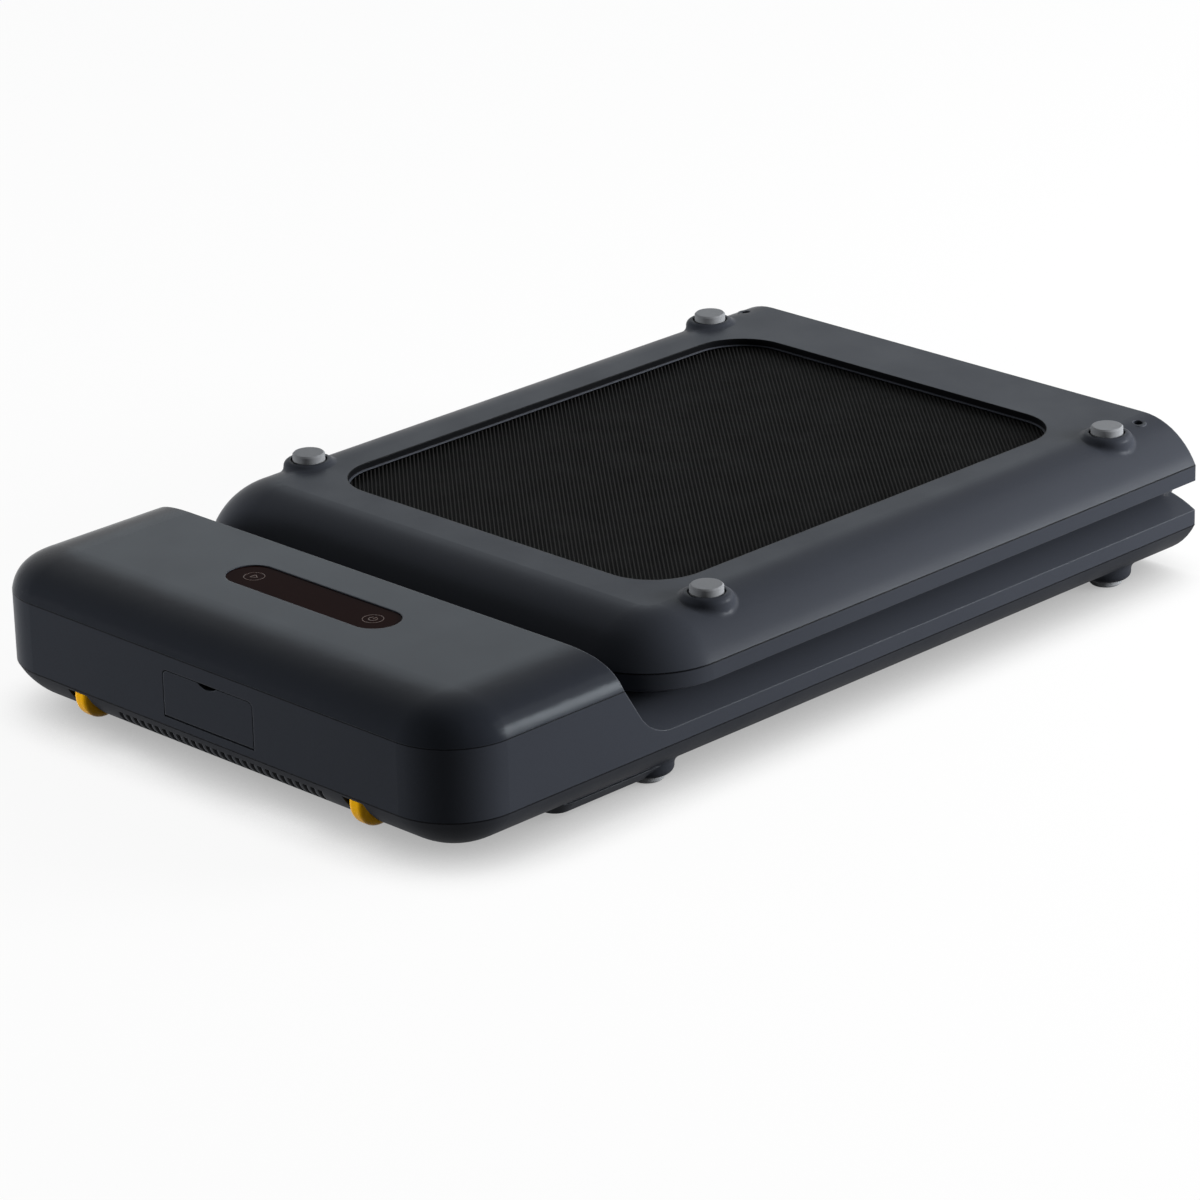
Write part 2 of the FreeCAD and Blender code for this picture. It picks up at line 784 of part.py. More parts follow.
def build_bay():
    x = door_width / 2
    outer = box(-x - bay_wall, x + bay_wall, bay_front, bay_back, door_low - bay_wall, door_high + bay_wall)
    bay = outer.cut(box(-x, x, bay_front - 1, bay_back - bay_wall, door_low, door_high))
    holes = ((inlet_x, inlet_width, inlet_height), (switch_x, switch_width, switch_height))
    for middle, width, height in holes:
        w = width / 2 - bay_wall
        h = height / 2 - bay_wall
        bay = bay.cut(box(middle - w, middle + w, bay_front, bay_back + 1, inlet_mid - h, inlet_mid + h))
    save("inlet_bay", bay)


def panel_part(middle, width, height, depth):
    # Flanged body pushed through a hole in the bay's back wall.
    seat = bay_back - bay_wall - seat_gap
    flange = box(middle - width / 2, middle + width / 2, seat - bay_wall, seat,
                 inlet_mid - height / 2, inlet_mid + height / 2)
    w = width / 2 - bay_wall - seat_gap
    h = height / 2 - bay_wall - seat_gap
    body = box(middle - w, middle + w, seat, seat + depth, inlet_mid - h, inlet_mid + h)
    return fused([flange, body]), seat - bay_wall


def build_inlet():
    inlet, face_y = panel_part(inlet_x, inlet_width, inlet_height, inlet_body_depth)
    w = socket_width / 2
    h = socket_height / 2
    socket = box(inlet_x - w, inlet_x + w, face_y - 1, face_y + socket_depth, inlet_mid - h, inlet_mid + h)
    deep = [e for e in socket.Edges if e.BoundBox.YLength > socket_depth / 2]
    upper = [e for e in deep if e.BoundBox.ZMin > inlet_mid]
    save("power_inlet", inlet.cut(socket.makeChamfer(h / 2, upper)))
    pins = []
    pin_y = face_y + socket_depth
    for x, z in socket_pins:
        pin_x = inlet_x + x - pin_thickness / 2
        pin_z = inlet_mid + z - pin_width / 2
        pins.append(box(pin_x, pin_x + pin_thickness, pin_y - pin_length, pin_y, pin_z, pin_z + pin_width))
    save("inlet_pins", Part.makeCompound(pins))


def build_switch():
    bezel, face_y = panel_part(switch_x, switch_width, switch_height, switch_depth)
    w = rocker_width / 2 + 2 * seat_gap
    h = rocker_height / 2 + 2 * seat_gap
    well_end = face_y + switch_depth - bay_wall
    well = box(switch_x - w, switch_x + w, face_y - 1, well_end, inlet_mid - h, inlet_mid + h)
    pivot_y = face_y + rocker_height / 4
    seat = w + bay_wall / 2
    pivot = rod_x(pivot_y, inlet_mid, bay_wall + run_gap, switch_x - seat, switch_x + seat)
    save("switch_bezel", bezel.cut(fused([well, pivot])))
    h = rocker_height / 2 - seat_gap
    reach = rocker_height / 4 + bay_wall
    rocker = polygon_x([
        (pivot_y - reach, inlet_mid - h + bay_wall),
        (pivot_y - reach + bay_wall, inlet_mid),
        (pivot_y - reach, inlet_mid + h - bay_wall),
        (pivot_y, inlet_mid + h - bay_wall),
        (pivot_y + bay_wall, inlet_mid),
        (pivot_y, inlet_mid - h + bay_wall),
    ], switch_x - rocker_width / 2, switch_x + rocker_width / 2)
    stub = rocker_width / 2 + bay_wall / 2
    rocker = fused([rocker, rod_x(pivot_y, inlet_mid, bay_wall, switch_x - stub, switch_x + stub)])
    rocker.rotate(V(0, pivot_y, inlet_mid), V(1, 0, 0), -rocker_tilt)
    save("power_rocker", rocker)


# Chassis, deck and cushions

def chassis(tube_end, feet, extra):
    tube = box(tube_inner_x, tube_outer_x, y_at(tube_end), y_at(tube_hinge_end), tube_low, tube_high)
    tube = tube.cut(box(tube_inner_x + tube_wall, tube_outer_x - tube_wall, y_at(tube_end) - 1,
                        y_at(tube_hinge_end) + 1, tube_low + tube_wall, tube_high - tube_wall))
    reach = stub_radius + 2 * wall
    ear = box(tube_inner_x, tube_inner_x + plate_thickness, y_at(guide_at) - reach, y_at(half_end + wall),
              tube_high, guide_height + stub_radius + wall)
    side = fused([tube, ear] + extra)
    seat = stub_radius + run_gap
    for at, height in ((idler_at, idler_height), (guide_at, guide_height)):
        side = side.cut(rod_x(y_at(at), height, seat, tube_inner_x - 1, tube_inner_x + plate_thickness))
    for at in feet:
        side = side.cut(rod_z(foot_x, y_at(at), foot_stud_radius + run_gap, 0, tube_low + tube_wall))
    side = side.cut(rod_z(screw_x, y_at(screw_at), screw_radius + run_gap, 0, tube_low + tube_wall))
    beams = []
    for at in spread(first_beam_at, rear_tube_end - last_beam_gap, beam_count):
        beam = box(-tube_inner_x, tube_inner_x, y_at(at) - beam_width / 2, y_at(at) + beam_width / 2,
                   tube_low, tube_high)
        hollow = box(-tube_inner_x, tube_inner_x, y_at(at) - beam_width / 2 + tube_wall,
                     y_at(at) + beam_width / 2 - tube_wall, tube_low + tube_wall, tube_high - tube_wall)
        beams.append(beam.cut(hollow))
    return fused([side, mirrored_x(side)] + beams)


def build_chassis():
    reach = roller_axle_radius + wall
    plate_end = y_at(front_roller_at) - reach
    plate_start = y_at(front_tube_end - beam_width)
    front_plate = box(tube_outer_x, tube_outer_x + plate_thickness, plate_end, plate_start,
                      roller_height - reach, roller_height + reach)
    front_plate = front_plate.cut(rod_x(y_at(front_roller_at), roller_height, roller_axle_radius + run_gap,
                                        tube_outer_x - 1, tube_outer_x + plate_thickness + 1))
    front = chassis(front_tube_end, (foot_hinge_at, foot_front_at), [front_plate])
    save("front_chassis", front)
    rear_plate = box(tube_inner_x, tube_inner_x + plate_thickness, y_at(rear_roller_at) - reach,
                     y_at(rear_tube_end - beam_width), roller_height - reach, tube_high)
    room = roller_axle_radius + run_gap
    slot = box(tube_inner_x - 1, tube_inner_x + plate_thickness + 1, y_at(rear_roller_at) - room,
               y_at(rear_roller_at) + 2 * roller_axle_radius, roller_height - room, roller_height + room)
    rear = chassis(rear_tube_end, (foot_hinge_at, foot_tail_at), [rear_plate.cut(slot)])
    save("rear_chassis", fold_over(rear.cut(fused([slot, mirrored_x(slot)]))))


def deck_board(far):
    x = deck_width / 2
    return box(-x, x, y_at(far), y_at(deck_hinge_end), deck_top - deck_thickness, deck_top)


def deck_cushions():
    pads = []
    for at in spread(first_cushion_at, rear_tube_end - last_cushion_gap, cushion_count):
        pad = box(tube_inner_x + run_gap, deck_width / 2 - run_gap, y_at(at) - cushion_length / 2,
                  y_at(at) + cushion_length / 2, tube_high, deck_top - deck_thickness)
        uprights = [e for e in pad.Edges if e.BoundBox.ZLength > seat_gap]
        pad = pad.makeFillet(cushion_corner, uprights)
        pads += [pad, mirrored_x(pad)]
    return Part.makeCompound(pads)


def build_decks():
    front_far = front_roller_at - roller_wrap - wall
    rear_far = rear_roller_at - roller_wrap - wall
    save("front_deck_board", deck_board(front_far))
    save("rear_deck_board", fold_over(deck_board(rear_far)))
    save("front_deck_cushions", deck_cushions())
    save("rear_deck_cushions", fold_over(deck_cushions()))


# Hinge

def knuckle(x0, x1):
    return rod_x(hinge_y, fold_height, knuckle_radius, x0, x1)


def hinge_leaf(barrels, clear):
    x0 = hinge_leaf_x
    x1 = hinge_leaf_x + hinge_leaf_width
    top = fold_height - knuckle_radius
    plate = box(x0, x1, y_at(hinge_leaf_length), y_at(tube_hinge_end), tube_high, top)
    arms = [box(a, b, y_at(tube_hinge_end + wall), y_at(half_end + wall), tube_high, top + wall / 2)
            for a, b in barrels]
    leaf = fused([plate] + arms + [knuckle(a, b) for a, b in barrels])
    for a, b in clear:
        leaf = leaf.cut(rod_x(hinge_y, fold_height, knuckle_radius + knuckle_gap, a, b))
    bore = rod_x(hinge_y, fold_height, hinge_pin_radius + run_gap, x0 - 1, x1 + 1)
    return leaf.cut(bore)


def build_hinge():
    start = hinge_leaf_x
    middle = (start + knuckle_step, start + knuckle_step + knuckle_width)
    outer = [(start, middle[0] - knuckle_gap), (middle[1] + knuckle_gap, start + hinge_leaf_width)]
    front = hinge_leaf(outer, [(middle[0] - knuckle_gap, middle[1] + knuckle_gap)])
    save("front_hinge_leaves", pair(front))
    clear = [(a - knuckle_gap, b + knuckle_gap) for a, b in outer]
    save("rear_hinge_leaves", fold_over(pair(hinge_leaf([middle], clear))))
    save("hinge_pins", pair(rod_x(hinge_y, fold_height, hinge_pin_radius, start, start + hinge_leaf_width)))


# Walking belt: strips of lines and arcs in side view

def strip_line(start, end):
    along = V(0, end[0] - start[0], end[1] - start[1]).normalize()
    side = V(0, -along.z, along.y) * (belt_thickness / 2)
    a = V(0, start[0], start[1])
    b = V(0, end[0], end[1])
    corners = [a - side, b - side, b + side, a + side]
    return prism_x(Part.makePolygon(corners + corners[:1]).Edges, -belt_width / 2, belt_width / 2)


def strip_arc(centre, inner, start, end):
    # Ring sector between two angles, measured from +Y towards +Z.
    def point(radius, angle):
        return V(0, centre[0] + radius * math.cos(angle), centre[1] + radius * math.sin(angle))
    outer = inner + belt_thickness
    middle = (start + end) / 2
    edges = [
        Part.Arc(point(outer, start), point(outer, middle), point(outer, end)).toShape(),
        Part.LineSegment(point(outer, end), point(inner, end)).toShape(),
        Part.Arc(point(inner, end), point(inner, middle), point(inner, start)).toShape(),
        Part.LineSegment(point(inner, start), point(outer, start)).toShape(),
    ]
    return prism_x(edges, -belt_width / 2, belt_width / 2)


def half_belt(roller_at):
    # Top run, turn round the end roller, return run, then up between idler and guide to the hinge.
    mid = belt_thickness / 2
    top = belt_top - mid
    low = belt_low + mid
    roller = (y_at(roller_at), roller_height)
    idler = (y_at(idler_at), idler_height)
    guide = (y_at(guide_at), guide_height)
    apart = math.hypot(guide[0] - idler[0], guide[1] - idler[1])
    climb = math.atan2(guide[1] - idler[1], guide[0] - idler[0])
    climb += math.asin((idler_wrap + guide_wrap + belt_thickness) / apart)
    leave = climb - math.pi / 2
    arrive = climb + math.pi / 2
    up = idler_wrap + mid
    over = guide_wrap + mid
    rise_start = (idler[0] + up * math.cos(leave), idler[1] + up * math.sin(leave))
    rise_end = (guide[0] + over * math.cos(arrive), guide[1] + over * math.sin(arrive))
    return fused([
        strip_line((hinge_y, top), (roller[0], top)),
        strip_arc(roller, roller_wrap, math.pi / 2, 3 * math.pi / 2),
        strip_line((roller[0], low), (idler[0], low)),
        strip_arc(idler, idler_wrap, -math.pi / 2, leave),
        strip_line(rise_start, rise_end),
        strip_arc(guide, guide_wrap, math.pi / 2, arrive),
        strip_line((guide[0], crossing_inner - mid), (hinge_y, crossing_inner - mid)),
    ])


def build_belt():
    save("walking_belt_front", half_belt(front_roller_at))
    save("walking_belt_rear", fold_over(half_belt(rear_roller_at)))
    axis = (hinge_y, fold_height)
    save("belt_fold_inner", strip_arc(axis, belt_drop, -math.pi / 2, math.pi / 2))
    save("belt_fold_outer", strip_arc(axis, crossing_drop, -math.pi / 2, math.pi / 2))


# Rollers

def small_roller(at, height, radius):
    body = belt_width / 2 + roller_overhang / 2
    stub = tube_inner_x + tube_wall
    return fused([rod_x(y_at(at), height, radius - seat_gap, -body, body),
                  rod_x(y_at(at), height, stub_radius, -stub, stub)])


def end_roller(at):
    half = belt_width / 2 + roller_overhang
    hollow = half - bearing_width
    tube = rod_x(y_at(at), roller_height, roller_radius, -half, half)
    bore = rod_x(y_at(at), roller_height, roller_radius - roller_tube_wall, -hollow, hollow)
    seat = rod_x(y_at(at), roller_height, bearing_radius, -half - 1, half + 1)
    return tube.cut(fused([bore, seat]))


def roller_bearings(at):
    half = belt_width / 2 + roller_overhang
    ring = rod_x(y_at(at), roller_height, bearing_radius, half - bearing_width, half)
    return pair(ring.cut(rod_x(y_at(at), roller_height, roller_axle_radius + run_gap, 0, half_width)))


def build_rollers():
    save("front_roller", end_roller(front_roller_at))
    save("front_roller_bearings", roller_bearings(front_roller_at))
    axle_end = tube_outer_x + plate_thickness
    axle = rod_x(y_at(front_roller_at), roller_height, roller_axle_radius, -axle_end, axle_end)
    save("front_roller_axle", axle)
    save("rear_roller", fold_over(end_roller(rear_roller_at)))
    save("rear_roller_bearings", fold_over(roller_bearings(rear_roller_at)))
    rear_end = bolt_x + 2 * bolt_radius
    axle = rod_x(y_at(rear_roller_at), roller_height, roller_axle_radius, -rear_end, rear_end)
    for x in (-bolt_x, bolt_x):
        axle = axle.cut(rod_y(x, roller_height, bolt_radius + run_gap, y_at(rear_length), hinge_y))
    save("rear_roller_axle", fold_over(axle))
    save("front_idler_roller", small_roller(idler_at, idler_height, idler_wrap))
    save("front_guide_roller", small_roller(guide_at, guide_height, guide_wrap))
    save("rear_idler_roller", fold_over(small_roller(idler_at, idler_height, idler_wrap)))
    save("rear_guide_roller", fold_over(small_roller(guide_at, guide_height, guide_wrap)))


def build_tension_bolts():
    # Each bolt pulls its axle end towards the tail.
    head_y = y_at(rear_roller_at) - roller_axle_radius
    shank = rod_y(bolt_x, roller_height, bolt_radius, head_y, y_at(rear_tube_end))
    corners = []
    for turn in (0, 60, 120, 180, 240, 300):
        angle = math.radians(turn)
        across = bolt_head * math.cos(angle)
        rise = bolt_head * math.sin(angle)
        corners.append(V(bolt_x + across, head_y, roller_height + rise))
    cap = Part.Face(Part.makePolygon(corners + corners[:1])).extrude(V(0, -bolt_radius * 2, 0))
    save("tension_bolts", fold_over(pair(fused([shank, cap]))))


# Feet, screws and transport wheels

def foot(at):
    top = boss_low + foot_recess - seat_gap
    profile = Part.makePolygon([
        V(0, 0, 0),
        V(foot_radius - foot_chamfer, 0, 0),
        V(foot_radius, 0, foot_chamfer),
        V(foot_radius, 0, top),
        V(foot_stud_radius, 0, top),
        V(foot_stud_radius, 0, tube_low + tube_wall),
        V(0, 0, tube_low + tube_wall),
        V(0, 0, 0),
    ])
    solid = Part.Face(profile).revolve(V(0, 0, 0), V(0, 0, 1), 360)
    solid.translate(V(foot_x, y_at(at), 0))
    return solid


def feet(places):
    solids = []
    for at in places:
        solids += [foot(at), mirrored_x(foot(at))]
    return Part.makeCompound(solids)


def cover_screws():
    seat = tube_low - 2 * wall
    head = rod_z(screw_x, y_at(screw_at), screw_head_radius, seat - wall, seat)
    shank = rod_z(screw_x, y_at(screw_at), screw_radius, seat, tube_low + tube_wall)
    return pair(fused([head, shank]))


def build_feet():
    save("front_feet", feet((foot_hinge_at, foot_front_at)))
    save("rear_feet", fold_over(feet((foot_hinge_at, foot_tail_at))))
    save("front_cover_screws", cover_screws())
    save("rear_cover_screws", fold_over(cover_screws()))


def build_wheels():
    half = wheel_width / 2
    wheel = rod_x(y_at(wheel_at), wheel_height, wheel_radius, wheel_x - half, wheel_x + half)
    rims = [e for e in wheel.Edges if abs(e.Length - 2 * math.pi * wheel_radius) < 1e-3]
    wheel = wheel.makeFillet(wheel_edge, rims)
    wheel = wheel.cut(rod_x(y_at(wheel_at), wheel_height, wheel_axle_radius + run_gap, 0, half_width))
    save("wheel_right", wheel)
    save("wheel_left", mirrored_x(wheel))
    reach = half + 2 * seat_gap + wall
    axle = rod_x(y_at(wheel_at), wheel_height, wheel_axle_radius, wheel_x - reach, wheel_x + reach)
    save("wheel_axles", pair(axle))


# Motor, drive and electronics

def build_motor():
    y = y_at(motor_at)
    z = motor_height
    end = motor_x0 + motor_length
    can = rod_x(y, z, motor_radius, motor_x0, end)
    cap = rod_x(y, z, motor_radius - wall, end, end + wall)
    fins = [rod_x(y, z, motor_radius + motor_rib, motor_x0 + i * 4 * wall, motor_x0 + i * 4 * wall + wall)
            for i in range(1, 4)]
    motor = fused([can, cap] + fins)
    save("drive_motor", motor.cut(rod_x(y, z, motor_shaft_radius + run_gap, motor_x0 + wall, half_width)))
    shaft = rod_x(y, z, motor_shaft_radius, motor_x0 + 2 * wall, pulley_x + pulley_width)
    pulley = rod_x(y, z, motor_pulley_radius, pulley_x, pulley_x + pulley_width)
    save("motor_rotor", fused([shaft, pulley]))
    half = saddle_width / 2
    saddle = box(motor_x0 + motor_length / 3, end - motor_length / 8, y - half, y + half,
                 underside_height + wall + seat_gap, z - motor_radius / 2)
    save("motor_bracket", saddle.cut(rod_x(y, z, motor_radius + seat_gap, 0, half_width)))


def build_roller_pulley():
    y = y_at(front_roller_at)
    start = belt_width / 2 + roller_overhang
    hub = rod_x(y, roller_height, bearing_radius + wall, start, pulley_x)
    rim = rod_x(y, roller_height, roller_pulley_radius, pulley_x, pulley_x + pulley_width)
    bore = rod_x(y, roller_height, roller_axle_radius + 2 * seat_gap, 0, half_width)
    save("front_roller_pulley", fused([hub, rim]).cut(bore))


def belt_outline(grow):
    # Side view of an open belt round the motor pulley and the roller pulley.
    a = V(0, y_at(motor_at), motor_height)
    b = V(0, y_at(front_roller_at), roller_height)
    ra = motor_pulley_radius + seat_gap + grow
    rb = roller_pulley_radius + seat_gap + grow
    along = b - a
    base = math.atan2(along.z, along.y)
    fan = math.acos((ra - rb) / along.Length)

    def point(centre, radius, angle):
        return centre + V(0, radius * math.cos(angle), radius * math.sin(angle))
    up = base + fan
    down = base - fan
    return Part.Wire([
        Part.LineSegment(point(a, ra, up), point(b, rb, up)).toShape(),
        Part.Arc(point(b, rb, up), point(b, rb, base), point(b, rb, down)).toShape(),
        Part.LineSegment(point(b, rb, down), point(a, ra, down)).toShape(),
        Part.Arc(point(a, ra, down), point(a, ra, base + math.pi), point(a, ra, up)).toShape(),
    ])


def build_ribbed_belt():
    loop = Part.Face(belt_outline(ribbed_belt_thickness)).cut(Part.Face(belt_outline(0)))
    belt = loop.extrude(V(pulley_width - 2, 0, 0))
    belt.translate(V(pulley_x + 1, 0, 0))
    save("drive_belt", belt)


def build_control():
    y0 = y_at(control_at) - control_depth / 2
    y1 = y_at(control_at) + control_depth / 2
    x1 = control_x0 + control_length
    floor = underside_height + wall + seat_gap
    board_low = floor + control_standoff
    board = box(control_x0, x1, y0, y1, board_low, board_low + board_thickness)
    inset = 2 * wall
    posts = [rod_z(x, y, wall, floor, board_low)
             for x in (control_x0 + inset, x1 - inset) for y in (y0 + inset, y1 - inset)]
    base = board_low + board_thickness
    cap_y = y0 + control_depth / 4
    caps = [rod_z(control_x0 + place, cap_y, capacitor_radius, base, base + capacitor_height)
            for place in capacitor_places]
    relay_x = x1 - relay_inset
    relay_y = y0 + relay_inset
    relay = box(relay_x - relay_length, relay_x, relay_y, relay_y + relay_width, base, base + relay_height)
    save("control_board", fused([board, relay] + posts + caps))
    sink_y0 = y_at(control_at) + 2 * wall
    sink_x0 = control_x0 + sink_margin
    sink_x1 = x1 - sink_margin
    sink = [box(sink_x0, sink_x1, sink_y0, y1 - wall, base, base + wall)]
    for fin_y in spread(sink_y0, y1 - wall - fin_thickness, fin_count):
        sink.append(box(sink_x0, sink_x1, fin_y, fin_y + fin_thickness, base, base + fin_height))
    save("heat_sink", fused(sink))


build_front_pan()
build_rear_cover()
build_front_frame()
build_rear_frame()
build_fold_bumpers()
build_console_cover()
build_display()
build_door()
build_bay()
build_inlet()
build_switch()
build_chassis()
build_decks()
build_hinge()
build_belt()
build_rollers()
build_tension_bolts()
build_feet()
build_wheels()
build_motor()
build_roller_pulley()
build_ribbed_belt()
build_control()
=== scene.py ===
import json
import math

import bmesh
import bpy
from mathutils import Matrix, Vector


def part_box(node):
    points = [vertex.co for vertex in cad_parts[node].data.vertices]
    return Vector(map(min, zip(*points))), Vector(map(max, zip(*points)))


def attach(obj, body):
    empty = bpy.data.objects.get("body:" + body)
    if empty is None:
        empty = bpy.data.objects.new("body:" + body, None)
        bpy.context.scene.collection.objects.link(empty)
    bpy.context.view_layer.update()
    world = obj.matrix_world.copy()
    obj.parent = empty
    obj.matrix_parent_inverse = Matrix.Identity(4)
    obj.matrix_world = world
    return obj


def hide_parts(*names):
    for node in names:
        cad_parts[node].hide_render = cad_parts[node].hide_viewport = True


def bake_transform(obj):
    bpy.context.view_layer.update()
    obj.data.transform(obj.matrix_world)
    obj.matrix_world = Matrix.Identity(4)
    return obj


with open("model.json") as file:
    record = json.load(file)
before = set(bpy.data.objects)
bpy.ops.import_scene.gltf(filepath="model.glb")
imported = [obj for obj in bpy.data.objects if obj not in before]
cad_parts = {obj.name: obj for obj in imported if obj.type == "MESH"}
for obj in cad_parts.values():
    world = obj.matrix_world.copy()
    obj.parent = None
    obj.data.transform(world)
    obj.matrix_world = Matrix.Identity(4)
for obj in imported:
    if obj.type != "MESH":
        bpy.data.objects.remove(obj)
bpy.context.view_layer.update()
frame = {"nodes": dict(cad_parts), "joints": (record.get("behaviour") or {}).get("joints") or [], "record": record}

nodes = frame["nodes"]
scene = bpy.context.scene
scene.view_settings.view_transform = "Standard"
print("walking pad frame loaded:", len(nodes), "nodes")


# camera

view = {
    "lens": 159.5,
    "sensor": 36,
    "clipEnd": 100,
    "azimuth": 45.44,  # degrees to the right of the console's front
    "elevation": 21.42,
    "roll": -1.58,
    "distance": 4.18632,
    "target": (-0.0067, -0.0035, 0.0298),
}


def placeCamera():
    azimuth = math.radians(view["azimuth"])
    elevation = math.radians(view["elevation"])
    roll = math.radians(view["roll"])
    flat = math.cos(elevation)
    back = Vector((math.sin(azimuth) * flat, -math.cos(azimuth) * flat, math.sin(elevation)))
    level = Vector((math.cos(azimuth), math.sin(azimuth), 0))
    upright = back.cross(level)
    right = level * math.cos(roll) + upright * math.sin(roll)
    up = upright * math.cos(roll) - level * math.sin(roll)
    data = bpy.data.cameras.new("photoCamera")
    data.lens = view["lens"]
    data.sensor_width = view["sensor"]
    data.sensor_height = view["sensor"]
    data.clip_end = view["clipEnd"]
    camera = bpy.data.objects.new("photoCamera", data)
    turn = Matrix((right, up, back)).transposed().to_4x4()
    place = Vector(view["target"]) + back * view["distance"]
    camera.matrix_world = Matrix.Translation(place) @ turn
    scene.collection.objects.link(camera)
    scene.camera = camera


placeCamera()
print("camera placed")


# node helpers shared by the finishes

edgePale = {
    "sharp": 0.8,  # dot of true and rounded normal where an edge is fully paled
    "flat": 0.995,  # and where it is not paled at all
}


def startFinish(name):
    finish = bpy.data.materials.new(name)
    finish.use_nodes = True
    tree = finish.node_tree
    return finish, tree, tree.nodes["Principled BSDF"]


def addNode(tree, kind, **values):
    node = tree.nodes.new(kind)
    for key, value in values.items():
        if key in node.inputs:
            node.inputs[key].default_value = value
        else:
            setattr(node, key, value)
    return node


def noiseAt(tree, scale, detail=3.0, rough=0.55, stretch=None):
    where = addNode(tree, "ShaderNodeTexCoord")
    source = where.outputs["Object"]
    if stretch:
        mapping = addNode(tree, "ShaderNodeMapping")
        mapping.inputs["Scale"].default_value = stretch
        tree.links.new(source, mapping.inputs["Vector"])
        source = mapping.outputs["Vector"]
    noise = addNode(tree, "ShaderNodeTexNoise", Scale=scale, Detail=detail, Roughness=rough)
    tree.links.new(source, noise.inputs["Vector"])
    return noise.outputs["Fac"]


def toRange(tree, value, low, high, fromLow=0.3, fromHigh=0.7):
    node = addNode(tree, "ShaderNodeMapRange")
    node.inputs["From Min"].default_value = fromLow
    node.inputs["From Max"].default_value = fromHigh
    node.inputs["To Min"].default_value = low
    node.inputs["To Max"].default_value = high
    tree.links.new(value, node.inputs["Value"])
    return node.outputs["Result"]


def mixShades(tree, factor, first, second):
    # first and second are colours or sockets
    node = addNode(tree, "ShaderNodeMix", data_type="RGBA")
    tree.links.new(factor, node.inputs["Factor"])
    for value, socket in ((first, node.inputs[6]), (second, node.inputs[7])):
        if isinstance(value, bpy.types.NodeSocket):
            tree.links.new(value, socket)
        else:
            socket.default_value = (*value, 1)
    return node.outputs[2]


def calc(tree, operation, first, second=None, third=None):
    node = addNode(tree, "ShaderNodeMath", operation=operation)
    for index, value in enumerate((first, second, third)):
        if isinstance(value, bpy.types.NodeSocket):
            tree.links.new(value, node.inputs[index])
        elif value is not None:
            node.inputs[index].default_value = value
    return node.outputs[0]


def bumpFrom(tree, height, depth, normal=None):
    node = addNode(tree, "ShaderNodeBump", Strength=1.0, Distance=depth)
    tree.links.new(height, node.inputs["Height"])
    if normal:
        tree.links.new(normal, node.inputs["Normal"])
    return node.outputs["Normal"]


def softEdge(tree, radius):
    node = addNode(tree, "ShaderNodeBevel", samples=6, Radius=radius)
    return node.outputs["Normal"]


def edgeMask(tree, rounded):
    # 1 along sharp edges, which the finishes make paler; on the moulded plastics that is wear and a painted edge
    # highlight
    geometry = addNode(tree, "ShaderNodeNewGeometry")
    dot = addNode(tree, "ShaderNodeVectorMath", operation="DOT_PRODUCT")
    tree.links.new(rounded, dot.inputs[0])
    tree.links.new(geometry.outputs["Normal"], dot.inputs[1])
    return toRange(tree, dot.outputs["Value"], 1.0, 0.0, edgePale["sharp"], edgePale["flat"])


def seamMask(tree, heights, width):
    # 1 in a thin line at each height
    where = addNode(tree, "ShaderNodeTexCoord")
    parts = addNode(tree, "ShaderNodeSeparateXYZ")
    tree.links.new(where.outputs["Object"], parts.inputs[0])
    total = None
    for height in heights:
        hit = calc(tree, "COMPARE", parts.outputs["Z"], height, width)
        total = hit if total is None else calc(tree, "MAXIMUM", total, hit)
    return total


# moulded plastics

windowPaintedShade = {
    "half": (0.183, 0.237),  # half sizes of the underside window
    "middleY": 0.1055,
    "corner": 0.046,
    "rim": 0.0005,
    # painted shade on the window's inner wall
    "shade": (0.0032, 0.0034, 0.0040),
    # painted highlight line standing in for a ledge in the wall
    "ledgeHighlightShade": (0.040, 0.044, 0.054),
    "ledgeHighlightWidth": 0.0004,
}


def windowShadeMask(tree):
    # 1 on the wall of the window, from the distance to a rounded rectangle; there the wall gets painted shade
    where = addNode(tree, "ShaderNodeTexCoord")
    parts = addNode(tree, "ShaderNodeSeparateXYZ")
    tree.links.new(where.outputs["Object"], parts.inputs[0])
    corner = windowPaintedShade["corner"]
    x = calc(tree, "ABSOLUTE", parts.outputs["X"])
    y = calc(tree, "SUBTRACT", parts.outputs["Y"], windowPaintedShade["middleY"])
    y = calc(tree, "ABSOLUTE", y)
    pastX = calc(tree, "SUBTRACT", x, windowPaintedShade["half"][0] - corner)
    pastY = calc(tree, "SUBTRACT", y, windowPaintedShade["half"][1] - corner)
    outX = calc(tree, "MAXIMUM", pastX, 0.0)
    outY = calc(tree, "MAXIMUM", pastY, 0.0)
    squareX = calc(tree, "MULTIPLY", outX, outX)
    squareY = calc(tree, "MULTIPLY", outY, outY)
    reach = calc(tree, "SQRT", calc(tree, "ADD", squareX, squareY))
    deep = calc(tree, "MINIMUM", calc(tree, "MAXIMUM", pastX, pastY), 0.0)
    return calc(tree, "LESS_THAN", calc(tree, "ADD", reach, deep), corner + windowPaintedShade["rim"])


